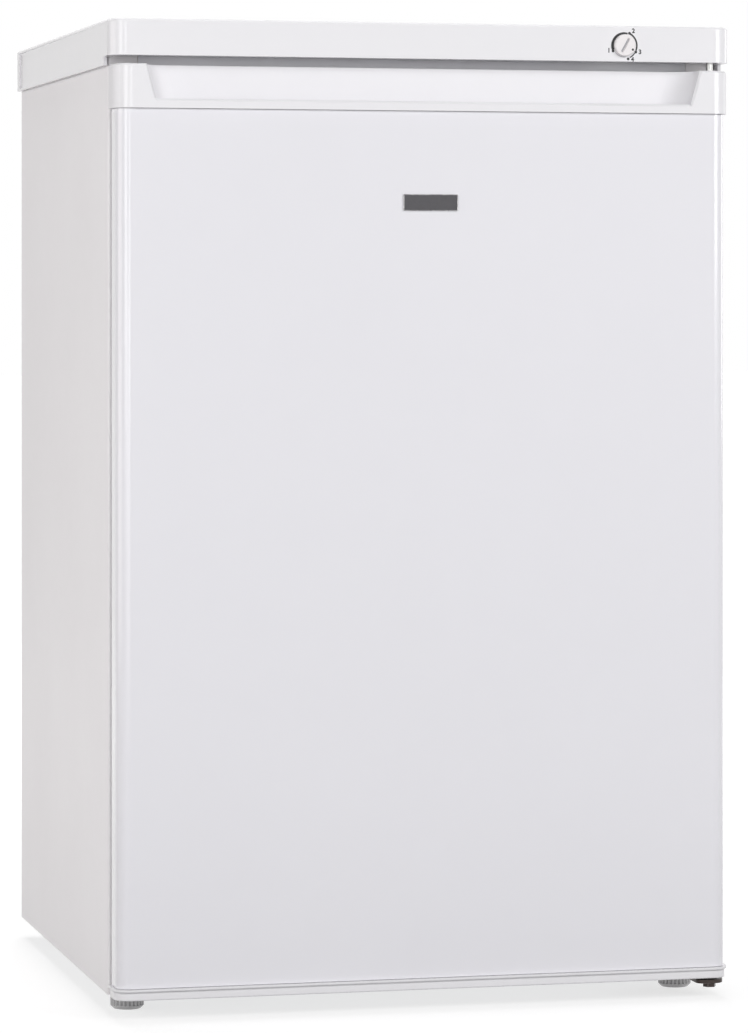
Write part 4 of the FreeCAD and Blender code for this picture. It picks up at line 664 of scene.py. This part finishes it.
@dataclass
class MeshBench:
    """Makes a mesh piece from rings and faces, then seats it on the freezer."""

    name: str
    points: list[Vector] = field(default_factory=list)
    faces: list[tuple[Sequence[int], int, bool]] = field(default_factory=list)

    def ring(self, points: Iterable[Vector]) -> list[int]:
        """Adds a row of points.

        Args:
            points: The row's points.

        Returns:
            Their numbers in the mesh.
        """
        first = len(self.points)
        self.points.extend(points)
        return list(range(first, len(self.points)))

    def face(self, corners: Sequence[int], paint: int = 0, rounded: bool = False) -> None:
        """Adds a face, with the number of its finish, flat or shaded as part of a round surface."""
        self.faces.append((corners, paint, rounded))

    def skin(self, rows: Sequence[Sequence[int]], closed: bool = True, paint: int = 0,
             rounded: bool = False) -> None:
        """Adds bands of faces from row to row, all with as many points.

        Args:
            rows: Numbers of the points in each row.
            closed: Whether the rows close on themselves.
            paint: Which of the piece's finishes the bands take.
            rounded: Whether they are shaded as a round surface.
        """
        for low, high in zip(rows, rows[1:]):
            count = len(low)
            for i in range(count if closed else count - 1):
                j = (i + 1) % count
                self.face([low[i], low[j], high[j], high[i]], paint, rounded)

    def seat(self, body: str, slot: str, *looks: Look) -> bpy.types.Object:
        """Turns the mesh into a piece that rides on a body.

        Args:
            body: Body that the piece moves with.
            *looks: Its finishes by paint number, if they aren't the slot's own.

        Returns:
            The new piece.
        """
        corners, paints, rounded = zip(*self.faces)
        mesh = bpy.data.meshes.new(self.name)
        mesh.from_pydata([tuple(point) for point in self.points], [], corners)
        mesh.polygons.foreach_set("material_index", paints)
        mesh.polygons.foreach_set("use_smooth", rounded)
        mesh.update()
        mesh.validate()
        return seat(self.name, mesh, body, looks or [Look[slot.upper()]])


@dataclass(frozen=True)
class Pipe:
    """Size of a round pipe or wire, laid along straight runs with smooth bends."""

    radius: float
    bend: float = 0.0
    packed_sides: int = 8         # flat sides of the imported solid
    sides: int = 14
    steps: int = 7                # rings in a quarter bend

    @property
    def flat(self) -> float:
        """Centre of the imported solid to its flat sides."""
        return self.radius * math.cos(math.pi / self.packed_sides)

    def line(self, corners: Iterable[Point]) -> list[Vector]:
        """Works out a centre line.

        Args:
            corners: Ends of the line and the points where its straight runs meet.

        Returns:
            Points along the line, close together in its bends.
        """
        way = [Vector(corner) for corner in corners]
        line = [way[0]]
        for before, here, after in zip(way, way[1:], way[2:]):
            back, ahead = (before - here).normalized(), (after - here).normalized()
            half = back.angle(ahead) / 2
            centre = here + (back + ahead).normalized() * (self.bend / math.sin(half))
            start = here + back * (self.bend / math.tan(half)) - centre
            sweep = math.pi - 2 * half
            axis = start.cross(-back).normalized()
            count = max(2, math.ceil(self.steps * sweep / (math.pi / 2)))
            line += [centre + Matrix.Rotation(sweep * k / count, 3, axis) @ start for k in range(count + 1)]
        line.append(way[-1])
        return [point for i, point in enumerate(line) if i == 0 or (point - line[i - 1]).length > MICRON]

    def lay(self, bench: MeshBench, *corners: Point) -> None:
        """Adds a pipe to a mesh.

        Args:
            bench: Mesh that takes it.
            *corners: Its ends and the points where its straight runs meet.
        """
        line = self.line(corners)
        ways = [(after - before).normalized() for before, after in zip(line, line[1:])]
        side = ways[0].orthogonal().normalized()
        turns = [2 * math.pi * k / self.sides for k in range(self.sides)]
        rows: list[list[int]] = []
        for come, point, go in zip([ways[0], *ways], line, [*ways, ways[-1]]):
            ahead = (come + go).normalized()
            side = (side - ahead * side.dot(ahead)).normalized()
            across = ahead.cross(side)
            rows.append(bench.ring(point + (side * math.cos(t) + across * math.sin(t)) * self.radius
                                   for t in turns))
        bench.skin(rows, rounded=True)
        bench.face(rows[0][::-1])
        bench.face(rows[-1])


@dataclass
class SubAssembly:
    """Part of the freezer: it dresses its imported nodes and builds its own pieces."""

    starts: ClassVar[Names] = ()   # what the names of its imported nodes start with
    special: ClassVar[dict[str, Look]] = {}

    @property
    def nodes(self) -> list[str]:
        """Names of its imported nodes."""
        return [name for name in frame["nodes"] if name.startswith(self.starts)]

    def dress(self) -> None:
        """Gives each of its nodes the finish of its material slot, or its own."""
        slots = {row["node"]: row["material_slot"] for row in frame["record"]["subparts"]}
        for node in self.nodes:
            look = self.special.get(node) or Look[slots[node].upper()]
            mesh = frame["nodes"][node].data
            mesh.materials.clear()
            mesh.materials.append(look.value.material())
            log.info("dressed %s as %s", node, look.value.name)

    def build(self) -> None:
        """Builds the pieces that only the looks need."""

    def complete(self) -> None:
        """Dresses the nodes, then builds the pieces."""
        self.dress()
        self.build()


@dataclass
class CabinetShell(SubAssembly):
    """Steel shell, liner and foam of the cabinet."""

    starts: ClassVar[Names] = (
        "side_", "base_", "top_", "back_", "inner_", "cabinet_", "compressor_carrier", "rear_",
    )


@dataclass
class Worktop(SubAssembly):
    """Moulded frame with its inlaid board."""

    starts: ClassVar[Names] = ("worktop_",)


@dataclass(frozen=True)
class DialMark:
    """Printed dot with its number beside the thermostat's knob."""

    angle: float                  # degrees, anticlockwise from the right
    text: str
    shift: Span                   # middle of the number from the dot, in millimetres
    radius: float                 # dot from the dial's middle, in millimetres


@dataclass(frozen=True)
class DialArc:
    """Printed arc between two dots, which may taper."""

    start: float                  # degrees, anticlockwise from the right
    end: float
    radius: float                 # middle of the arc's width, in millimetres
    widths: Span                  # at the start and at the end, in millimetres
    paint: int = 0                # 0 for black ink, 1 for grey


@dataclass
class Thermostat(SubAssembly):
    """Thermostat with its knob and the marks printed round it."""

    starts: ClassVar[Names] = ("thermostat_",)
    special: ClassVar[dict[str, Look]] = {"thermostat_knob": Look.KNOB}
    # black ink, and a grey that is both printed ink and the painted shade in the knob's slot
    inks: ClassVar[tuple[Look, Look]] = (Look.INK, Look.PALE_INK)
    dot: float = 1.25 * MM
    dot_points: int = 20
    number: float = 5.4 * MM
    bold: float = 0.2 * MM        # how far the numbers are thickened
    film: float = 0.04 * MM       # thickness of the ink
    arc_step: float = 4.0         # degrees in one patch of an arc
    pointer_angle: float = -30.0
    pointer_reach: float = 7.6 * MM   # dot on the knob, from its middle
    pointer_dot: float = 0.85     # its size, share of the dots on the skirt
    slot_angle: float = 61.0
    slot_depth: float = 1.3 * MM
    # length and width of the grey patch painted on the slot's floor as its shade
    slot_line: Span = (12.8 * MM, 1.5 * MM)
    marks: tuple[DialMark, ...] = (
        DialMark(206, "1", (-3.8, 0.3), 11.2), DialMark(66, "2", (3.6, 2.0), 11.7),
        DialMark(-28, "3", (3.9, 0.0), 11.9), DialMark(-73, "4", (4.0, -0.5), 12.2),
    )
    arcs: tuple[DialArc, ...] = (
        DialArc(201, 73, 10.6, (2.5, 1.8)), DialArc(61, -22, 11.5, (1.5, 1.4)),
        DialArc(-34, -64, 11.6, (1.1, 1.0)), DialArc(-82, -149, 10.1, (0.5, 0.5), 1),
    )

    def build(self) -> None:
        """Prints the scale on the skirt and the pointer on the knob, and paints shade into the knob's slot.
        """
        low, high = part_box("thermostat_knob")
        middle = (low + high) / 2
        skirt = Vector((middle.x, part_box("worktop_frame")[0].y, middle.z))
        self.print_scale(skirt)
        for mark in self.marks:
            self.print_number(skirt, mark)
        self.print_knob(Vector((middle.x, low.y, middle.z)))

    @staticmethod
    def spot(middle: Vector, angle: float, radius: float) -> Vector:
        """Gives the point at an angle, in degrees anticlockwise from the right, and a radius."""
        turn = math.radians(angle)
        return middle + Vector((math.cos(turn), 0, math.sin(turn))) * radius

    def disc(self, middle: Vector, radius: float) -> list[Vector]:
        """Gives the outline of a dot, clockwise as seen from the front."""
        return [self.spot(middle, -360 * k / self.dot_points, radius) for k in range(self.dot_points)]

    def patch(self, bench: MeshBench, outline: Sequence[Vector], paint: int = 0) -> None:
        """Adds a thin patch: printed ink, or the painted shade in the knob's slot.

        Args:
            bench: Mesh that takes it.
            outline: Its outline on the printed surface, clockwise as seen from the front.
            paint: Which finish it takes.
        """
        base = bench.ring(outline)
        face = bench.ring(point - Vector((0, self.film, 0)) for point in outline)
        bench.skin([face, base], paint=paint)
        bench.face(face[::-1], paint)
        bench.face(base, paint)

    def print_arc(self, bench: MeshBench, middle: Vector, arc: DialArc) -> None:
        """Prints an arc as a row of short four-sided patches.

        Args:
            bench: Mesh that takes it.
            middle: Middle of the dial, on the skirt.
            arc: The arc.
        """
        steps = int(abs(arc.end - arc.start) / self.arc_step)
        rows = []
        for k in range(steps + 1):
            angle = arc.start + (arc.end - arc.start) * k / steps
            half = (arc.widths[0] + (arc.widths[1] - arc.widths[0]) * k / steps) / 2
            rows.append([self.spot(middle, angle, (arc.radius + way * half) * MM) for way in (-1, 1)])
        for (inner, outer), (next_inner, next_outer) in zip(rows, rows[1:]):
            self.patch(bench, [inner, outer, next_outer, next_inner], arc.paint)

    def print_scale(self, middle: Vector) -> None:
        """Prints the arcs and the dots round the knob.

        Args:
            middle: Middle of the dial, on the skirt.
        """
        bench = MeshBench("dial_scale")
        for arc in self.arcs:
            self.print_arc(bench, middle, arc)
        for mark in self.marks:
            self.patch(bench, self.disc(self.spot(middle, mark.angle, mark.radius * MM), self.dot))
        bench.seat("cabinet", "white_plastic", *self.inks)

    def print_number(self, middle: Vector, mark: DialMark) -> None:
        """Prints the number beside a dot.

        Args:
            middle: Middle of the dial, on the skirt.
            mark: The dot and its number.
        """
        spot = self.spot(middle, mark.angle, mark.radius * MM)
        spot += Vector((mark.shift[0] * MM, -self.film / 2, mark.shift[1] * MM))
        curve = bpy.data.curves.new("number", "FONT")
        curve.body = mark.text
        curve.size = self.number
        curve.offset = self.bold
        curve.extrude = self.film / 2
        curve.align_x = curve.align_y = "CENTER"
        letter = place_in_scene("number", curve)
        bpy.context.view_layer.update()
        mesh = bpy.data.meshes.new_from_object(letter.evaluated_get(bpy.context.evaluated_depsgraph_get()))
        bpy.data.objects.remove(letter)
        mesh.transform(Matrix.Translation(spot) @ Matrix.Rotation(math.pi / 2, 4, "X"))
        mesh.materials.clear()
        seat(f"dial_number_{mark.text}", mesh, "cabinet", [Look.INK])

    def print_knob(self, middle: Vector) -> None:
        """Prints the pointer's dot on the knob, and lays a grey patch of painted shade on the floor of its
        slot.

        Args:
            middle: Middle of the knob's face.
        """
        bench = MeshBench("knob_print_and_slot_shade")
        tip = self.spot(middle, self.pointer_angle, self.pointer_reach)
        self.patch(bench, self.disc(tip, self.dot * self.pointer_dot))
        floor = middle + Vector((0, self.slot_depth, 0))
        half, side = self.slot_line[0] / 2, self.slot_line[1] / 2
        head, foot = (self.spot(floor, self.slot_angle + turn, half) for turn in (0, 180))
        across = self.spot(Vector(), self.slot_angle + 90, side)
        # painted shade on the floor of the knob's slot
        self.patch(bench, [foot + across, head + across, head - across, foot - across], 1)
        bench.seat("knob", "white_plastic", *self.inks)


@dataclass(frozen=True)
class BadgePlate:
    """Bare plate with a bevelled rim, fixed to the door's skin."""

    width: float = 48.5 * MM
    height: float = 14.3 * MM
    thickness: float = 1.4 * MM
    shift: float = 3.0 * MM       # its middle right of the door's
    drop: float = 78.5 * MM       # its middle below the top of the skin
    corner: float = 0.8 * MM
    least_corner: float = 0.1 * MM
    corner_points: int = 5
    rim: float = 0.7 * MM
    levels: tuple[Span, ...] = (  # shares of the rim's width and of the thickness, from the skin up
        (0.0, 0.0), (0.0, 0.75), (0.12, 0.95), (0.45, 1.0), (0.85, 1.0), (1.0, 0.72),
    )

    def outline(self, inset: float, depth: float, middle: Vector) -> list[Vector]:
        """Gives the plate's rounded outline.

        Args:
            inset: How far inside the plate's edge it runs.
            depth: How far in front of the skin it lies.
            middle: Middle of the plate on the skin.

        Returns:
            Points round the outline, clockwise as seen from the front.
        """
        radius = max(self.corner - inset, self.least_corner)
        half_x, half_z = self.width / 2 - inset - radius, self.height / 2 - inset - radius
        points = []
        for quarter, (sx, sz) in enumerate(((1, 1), (-1, 1), (-1, -1), (1, -1))):
            for k in range(self.corner_points):
                turn = math.pi / 2 * (quarter + k / (self.corner_points - 1))
                x = sx * half_x + radius * math.cos(turn)
                z = sz * half_z + radius * math.sin(turn)
                points.append(middle + Vector((x, -depth, z)))
        return points[::-1]

    def build(self) -> None:
        """Builds the plate on the door's skin."""
        low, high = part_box("door_outer_panel")
        middle = Vector((self.shift, low.y, high.z - self.drop))
        bench = MeshBench("badge_plate")
        rows = [bench.ring(self.outline(share * self.rim, depth * self.thickness, middle))
                for share, depth in self.levels]
        bench.skin(rows, paint=1)
        bench.face(rows[-1], 0)
        bench.face(rows[0][::-1], 1)
        bench.seat("door", "white_steel", Look.PLATE, Look.PLATE_RIM)


@dataclass
class Door(SubAssembly):
    """Door with its caps, liner, seal and bare plate."""

    starts: ClassVar[Names] = ("door_", "hinge_bushes", "hinge_plugs")
    special: ClassVar[dict[str, Look]] = {"door_top_cap": Look.TOP_CAP, "door_bottom_cap": Look.BOTTOM_CAP}
    plate: BadgePlate = BadgePlate()

    def build(self) -> None:
        """Builds the plate."""
        self.plate.build()


@dataclass
class Hinges(SubAssembly):
    """Hinge plates, their pins and screws."""

    starts: ClassVar[Names] = ("upper_hinge_", "lower_hinge_", "hinge_screws")


@dataclass
class ScrewFeet(SubAssembly):
    """Front screw feet: their studs get a real thread."""

    starts: ClassVar[Names] = ("foot_",)
    special: ClassVar[dict[str, Look]] = {"foot_left_pad": Look.FOOT, "foot_right_pad": Look.FOOT}
    pitch: float = 1.5 * MM
    tooth: float = 0.8 * MM       # depth of the thread
    chamfer: float = 1.5 * MM     # height over which it runs out at both ends
    around: int = 24
    profile: tuple[Span, ...] = (  # rise in pitches and depth in teeth, over one turn
        (0.0, 0.0), (0.12, 0.0), (0.45, 1.0), (0.62, 1.0), (0.95, 0.0),
    )

    def build(self) -> None:
        """Threads both studs."""
        for side in ("left", "right"):
            self.thread(side)

    def turn(self, box: tuple[Vector, Vector], rise: float, depth: float) -> list[Vector]:
        """Gives one turn of a line of the thread, held within the stud.

        Args:
            box: Lower and upper corner of the stud's box.
            rise: Where it starts above the stud's foot, in pitches.
            depth: How deep it lies, in teeth.

        Returns:
            Its points.
        """
        low, high = box
        middle, outer = (low + high) / 2, (high.x - low.x) / 2
        points = []
        for k in range(self.around):
            z = min(max(low.z + (rise + k / self.around) * self.pitch, low.z), high.z)
            end = min(z - low.z, high.z - z) / self.chamfer
            radius = outer - max(depth, 1 - min(end, 1.0)) * self.tooth
            angle = 2 * math.pi * k / self.around
            x, y = middle.x + radius * math.cos(angle), middle.y + radius * math.sin(angle)
            points.append(Vector((x, y, z)))
        return points

    def thread(self, side: str) -> None:
        """Builds one threaded stud in place of its plain solid.

        Args:
            side: left or right.
        """
        node = f"foot_{side}_stud"
        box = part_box(node)
        turns = math.ceil((box[1].z - box[0].z) / self.pitch)
        bench = MeshBench(f"foot_{side}_thread")
        rows = [bench.ring(self.turn(box, level + rise, depth))
                for level in range(-1, turns + 1) for rise, depth in self.profile]
        bench.skin(rows, closed=False)
        higher = rows[len(self.profile):]     # each row's last point meets the first one a turn higher
        for low, high, next_low, next_high in zip(rows, rows[1:], higher, higher[1:]):
            bench.face([low[-1], next_low[0], next_high[0], high[-1]])
        bench.face(rows[0][::-1])
        bench.face(rows[-1])
        piece = bench.seat(f"{side}_foot_screw", "zinc")
        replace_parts(piece, node)


@dataclass
class ColdSide(SubAssembly):
    """Shelves that freeze, their risers and the drawers; its tubes and wires are made round."""

    levels: ClassVar[Names] = ("lower", "middle", "upper")
    starts: ClassVar[Names] = ("evaporator_", "drawer_")
    tube: Pipe = Pipe(4.0 * MM, 20.0 * MM)
    riser: Pipe = Pipe(4.0 * MM, 6.0 * MM)
    wire: Pipe = Pipe(1.5 * MM, sides=10)
    runs: int = 5
    joint: float = 10.0 * MM      # first run starts this far inside the bends
    wires: int = 13
    wire_rise: float = 5.6 * MM   # wires' centre above the tube's
    overhang: float = 8.0 * MM    # wires past the first and last run
    margin: float = 8.0 * MM      # first and last wire inside the bends
    riser_rise: float = 16.0 * MM
    riser_set: float = 14.5 * MM  # upright runs behind the shelves' last run
    seat_gap: float = 0.3 * MM
    exit_rise: float = 20.0 * MM  # exits past the risers' bends

    def build(self) -> None:
        """Builds the three shelves and the risers between them."""
        for name in self.levels:
            self.shelf(name)
        self.risers()

    def height(self, name: str) -> float:
        """Gives the height of a shelf's tube."""
        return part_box(f"evaporator_shelf_{name}")[0].z + self.tube.flat

    def wire_place(self, number: float) -> float:
        """Gives where a cross wire lies from side to side; a half number is midway between two."""
        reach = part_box("evaporator_shelf_lower")[1].x - self.tube.flat - self.margin
        return -reach + 2 * reach * number / (self.wires - 1)

    def shelf(self, name: str) -> None:
        """Builds one shelf: its serpentine tube and the wires welded on it.

        Args:
            name: lower, middle or upper.
        """
        node = f"evaporator_shelf_{name}"
        low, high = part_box(node)
        level, half = self.height(name), high.x - self.tube.flat
        front, back = low.y + self.wire.radius, high.y - self.wire.radius
        first, last = front + self.overhang, back - self.overhang
        route = []
        for run in range(self.runs):
            y = first + (last - first) * run / (self.runs - 1)
            near, far = (-half, half) if run % 2 else (half, -half)
            route += [(near, y, level), (far, y, level)]
        route[0] = (half - self.joint, first, level)
        bench = MeshBench(f"freezing_shelf_{name}")
        self.tube.lay(bench, *route)
        top = level + self.wire_rise
        for k in range(self.wires):
            x = self.wire_place(k)
            self.wire.lay(bench, (x, front, top), (x, back, top))
        end = self.wire_place(self.wires - 1) + self.margin / 2
        for y in (front, back):
            self.wire.lay(bench, (-end, y, top), (end, y, top))
        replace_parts(bench.seat("cabinet", "white_tube"), node)

    def risers(self) -> None:
        """Builds the tubes that join the shelves to each other and to the lines in the foam."""
        low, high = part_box("evaporator_risers")
        gap = self.riser.radius + self.seat_gap
        front, back = low.y + self.riser.flat, high.y
        wall = front + self.riser_set
        heights = [self.height(name) for name in self.levels]
        bench = MeshBench("riser_tubes")
        for foot, head, number in zip(heights, heights[1:], (self.wires - 1.5, 0.5)):
            x = self.wire_place(number)
            low_turn, high_turn = foot + self.riser_rise, head - self.riser_rise
            self.riser.lay(bench, (x, front, foot + gap), (x, front, low_turn), (x, wall, low_turn),
                           (x, wall, high_turn), (x, front, high_turn), (x, front, head - gap))
        for level, number, way in ((heights[0], 1.5, 1), (heights[-1], self.wires - 2.5, -1)):
            x, turn = self.wire_place(number), level + way * (self.riser_rise + self.exit_rise)
            self.riser.lay(bench, (x, back, turn), (x, front, turn), (x, front, level + way * gap))
        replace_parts(bench.seat("cabinet", "white_tube"), "evaporator_risers")


@dataclass
class HotSide(SubAssembly):
    """Compressor, its pipes and the condenser; pipes and wires are made round."""

    starts: ClassVar[Names] = (
        "compressor_lower", "compressor_upper", "compressor_foot", "compressor_grommets", "compressor_bolts",
        "terminal_", "cord_", "filter_", "discharge_", "suction_", "capillary_", "condenser_",
    )
    discharge: Pipe = Pipe(3.0 * MM, 14.0 * MM)
    suction: Pipe = Pipe(4.0 * MM, 9.0 * MM)
    capillary: Pipe = Pipe(1.2 * MM, 8.0 * MM, packed_sides=6)
    condenser: Pipe = Pipe(2.5 * MM, 11.0 * MM)
    wire: Pipe = Pipe(0.75 * MM, sides=8)
    wire_pitch: float = 13.0 * MM
    capillary_reach: float = 29.7 * MM   # its upright run in front of its end
    runs: int = 8
    run_pitch: float = 62.0 * MM
    riser_gap: float = 32.0 * MM         # riser to the right bends
    drier_inset: float = 64.0 * MM       # left bends to the drier
    drier_turn: float = 24.0 * MM        # level run above the drier
    joint: float = 0.3 * MM

    def build(self) -> None:
        """Builds the pipes and the condenser."""
        self.discharge_pipe()
        self.suction_pipe()
        self.capillary_pipe()
        self.condenser_coil()
        self.condenser_grid()

    @staticmethod
    def lay(name: str, node: str, slot: str, pipe: Pipe, *corners: Point) -> None:
        """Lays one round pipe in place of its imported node.

        Args:
            name: Name of the piece.
            node: Node that it stands for.
            slot: Material slot of the record.
            pipe: Its size.
            *corners: Its ends and the points where its straight runs meet.
        """
        bench = MeshBench(name)
        pipe.lay(bench, *corners)
        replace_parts(bench.seat("cabinet", slot), node)

    def discharge_pipe(self) -> None:
        """Builds the hot gas pipe from the compressor to the condenser's riser."""
        low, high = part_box("discharge_tube")
        flat = self.discharge.flat
        front, back, right, level = low.y + flat, high.y - flat, high.x - flat, low.z + flat
        self.lay("discharge_pipe", "discharge_tube", "copper", self.discharge, (low.x, front, level),
                 (right, front, level), (right, back, level), (right, back, high.z))

    def suction_pipe(self) -> None:
        """Builds the return pipe from the niche's wall to the top of the compressor."""
        low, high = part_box("suction_tube")
        x, back, level = (low.x + high.x) / 2, high.y - self.suction.flat, high.z - self.suction.flat
        self.lay("suction_pipe", "suction_tube", "copper", self.suction,
                 (x, back, low.z), (x, back, level), (x, low.y, level))

    def capillary_pipe(self) -> None:
        """Builds the thin pipe from the drier to the niche's wall."""
        low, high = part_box("capillary_tube")
        pipe = self.capillary
        left, right, back = low.x + pipe.flat, high.x - pipe.radius, high.y - pipe.radius
        foot, head, turn = low.z + pipe.flat, high.z - pipe.flat, low.y + self.capillary_reach
        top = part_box("filter_drier")[0].z - self.joint
        self.lay("capillary_pipe", "capillary_tube", "copper", pipe, (left, back, top), (left, back, foot),
                 (right, back, foot), (right, turn, foot), (right, turn, head), (right, low.y, head))

    def condenser_coil(self) -> None:
        """Builds the serpentine, from the riser's foot run by run to the drier."""
        low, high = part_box("condenser_tube")
        flat = self.condenser.flat
        riser, left, top = high.x - flat, low.x + flat, high.z - flat
        right, drier = riser - self.riser_gap, left + self.drier_inset
        back, inner = high.y - flat, low.y + flat
        route = [(riser, back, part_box("discharge_tube")[1].z + self.joint), (riser, back, top)]
        for run in range(self.runs):
            level = top - run * self.run_pitch
            near, far = (left, right) if run % 2 else (right, left)
            route += [(near, back, level), (far, back, level)] if run else [(far, back, level)]
        route[-1] = (drier, back, route[-1][2])
        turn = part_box("filter_drier")[1].z + self.drier_turn
        route += [(drier, back, turn), (drier, inner, turn), (drier, inner, low.z)]
        self.lay("condenser_coil", "condenser_tube", "black_steel", self.condenser, *route)

    def condenser_grid(self) -> None:
        """Builds the wires welded to both sides of the serpentine."""
        low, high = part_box("condenser_wires")
        bench = MeshBench("condenser_grid")
        each_side = int(high.x / self.wire_pitch)
        for k in range(-each_side, each_side + 1):
            x = k * self.wire_pitch
            for y in (low.y + self.wire.radius, high.y - self.wire.radius):
                self.wire.lay(bench, (x, y, low.z), (x, y, high.z))
        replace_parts(bench.seat("cabinet", "black_steel"), "condenser_wires")


@dataclass(frozen=True)
class SoftBox:
    """One soft studio light, aimed at a point."""

    name: str
    place: Point
    aim: Point
    width: float
    height: float
    power: float
    tint: Point = (1.0, 1.0, 1.0)

    def hang(self) -> None:
        """Hangs the light."""
        lamp = bpy.data.lights.new(self.name, "AREA")
        lamp.shape = "RECTANGLE"
        lamp.size, lamp.size_y = self.width, self.height
        lamp.energy = self.power
        lamp.color = self.tint
        holder = place_in_scene(self.name, lamp)
        holder.location = self.place
        way = Vector(self.aim) - Vector(self.place)
        holder.rotation_euler = way.to_track_quat("-Z", "Y").to_euler()
        holder.visible_camera = False


@dataclass
class Studio:
    """Pale floor, soft lights, white surroundings and the camera."""

    floor_size: float = 60.0
    floor_tone: float = 0.4
    floor_roughness: float = 0.9
    floor_glow: float = 0.7       # share of white added near the freezer
    fade: Span = (0.5, 3.2)       # where it starts and ends to turn white
    ambient: float = 0.15
    lens: float = 149.14
    sensor: float = 36.0
    camera_place: Point = (-0.90724, -3.84439, 0.61229)
    camera_turn: float = -0.2422
    shift: Span = (-0.02323, -0.21068)
    boxes: tuple[SoftBox, ...] = (
        SoftBox("key_box", (1.75, -2.2, 1.35), (0.0, -0.28, 0.5), 1.0, 1.5, 28.8),
        SoftBox("left_box", (-2.55, -0.28, 0.85), (-0.27, -0.1, 0.45), 1.8, 1.5, 18.8, (1.0, 0.97, 0.955)),
        SoftBox("front_left_box", (-1.5, -2.4, 1.15), (-0.2, -0.28, 0.5), 0.9, 1.5, 14.2),
        SoftBox("front_box", (-0.2, -2.9, 1.1), (-0.2, -0.28, 0.5), 0.45, 1.4, 6.8),
        SoftBox("high_box", (-0.1, -2.7, 1.95), (0.0, -0.28, 0.5), 1.4, 0.7, 10.7),
        SoftBox("low_box", (-0.7, -2.5, 0.4), (0.0, -0.28, 0.65), 1.0, 0.6, 3.1),
        SoftBox("top_box", (0.0, 0.5, 2.5), (0.0, 0.1, 0.85), 1.5, 1.5, 14.5),
        SoftBox("right_box", (2.7, 0.8, 1.1), (0.27, 0.1, 0.5), 1.0, 1.4, 12.0),
        SoftBox("back_box", (0.0, 2.3, 2.4), (0.0, 0.28, 0.4), 1.4, 0.9, 36.0),
    )

    def build(self) -> None:
        """Builds the whole studio."""
        for box in self.boxes:
            box.hang()
        self.floor()
        self.surround()
        self.camera()
        bpy.context.scene.view_settings.view_transform = "Standard"

    def floor(self) -> None:
        """Lays a pale floor that keeps the freezer's shadow and fades to white further off."""
        half = self.floor_size / 2
        mesh = bpy.data.meshes.new("studio_floor")
        corners = [(x * half, y * half, 0) for x, y in ((-1, -1), (1, -1), (1, 1), (-1, 1))]
        mesh.from_pydata(corners, [], [range(len(corners))])
        made = bpy.data.materials.new("studio_floor")
        made.use_nodes = True
        sheet = Sheet(made.node_tree)
        inputs = made.node_tree.nodes["Principled BSDF"].inputs
        inputs["Base Color"].default_value = (*[self.floor_tone] * 3, 1)
        inputs["Roughness"].default_value = self.floor_roughness
        inputs["Specular IOR Level"].default_value = 0.0
        inputs["Emission Color"].default_value = (1, 1, 1, 1)
        away = sheet.work("VectorMath", "LENGTH", sheet.place()).outputs["Value"]
        glow = sheet.span(away, *self.fade, self.floor_glow, 1.0)
        sheet.feed(inputs["Emission Strength"], sheet.times(self.seen(sheet), glow))
        mesh.materials.append(made)
        floor = place_in_scene("studio_floor", mesh)

    @staticmethod
    def seen(sheet: Sheet) -> Socket:
        """Gives 1 where a surface is seen, directly, in gloss or through glass, and 0 elsewhere.

        Args:
            sheet: Sheet of the tree that asks.

        Returns:
            The mask's socket.
        """
        rays = sheet.add("LightPath").outputs
        shown = sheet.larger(rays["Is Camera Ray"], rays["Is Glossy Ray"])
        return sheet.larger(shown, rays["Is Transmission Ray"])

    def surround(self) -> None:
        """Makes the world white where it is seen and a soft light elsewhere."""
        world = bpy.data.worlds.new("studio")
        bpy.context.scene.world = world
        world.use_nodes = True
        sheet = Sheet(world.node_tree)
        inputs = world.node_tree.nodes["Background"].inputs
        inputs["Color"].default_value = (1, 1, 1, 1)
        sheet.feed(inputs["Strength"], sheet.span(self.seen(sheet), 0.0, 1.0, self.ambient, 1.0))

    def camera(self) -> None:
        """Sets up the camera at the freezer's left front."""
        lens = bpy.data.cameras.new("camera")
        lens.sensor_width = self.sensor
        lens.lens = self.lens
        lens.shift_x, lens.shift_y = self.shift
        camera = place_in_scene("camera", lens)
        camera.location = self.camera_place
        camera.rotation_euler = (math.pi / 2, 0, self.camera_turn)
        bpy.context.scene.camera = camera


def main() -> None:
    """Builds the freezer's looks, part by part, and then the studio."""
    parts: list[SubAssembly] = [
        CabinetShell(), Worktop(), Thermostat(), Door(), Hinges(), ScrewFeet(), ColdSide(), HotSide(),
    ]
    for part in parts:
        part.complete()
    bare = set(frame["nodes"]) - {node for part in parts for node in part.nodes}
    if bare:
        log.warning("no finish for %s", sorted(bare))
    Studio().build()


if __name__ == "__main__":
    logging.basicConfig(level=logging.INFO)
    main()
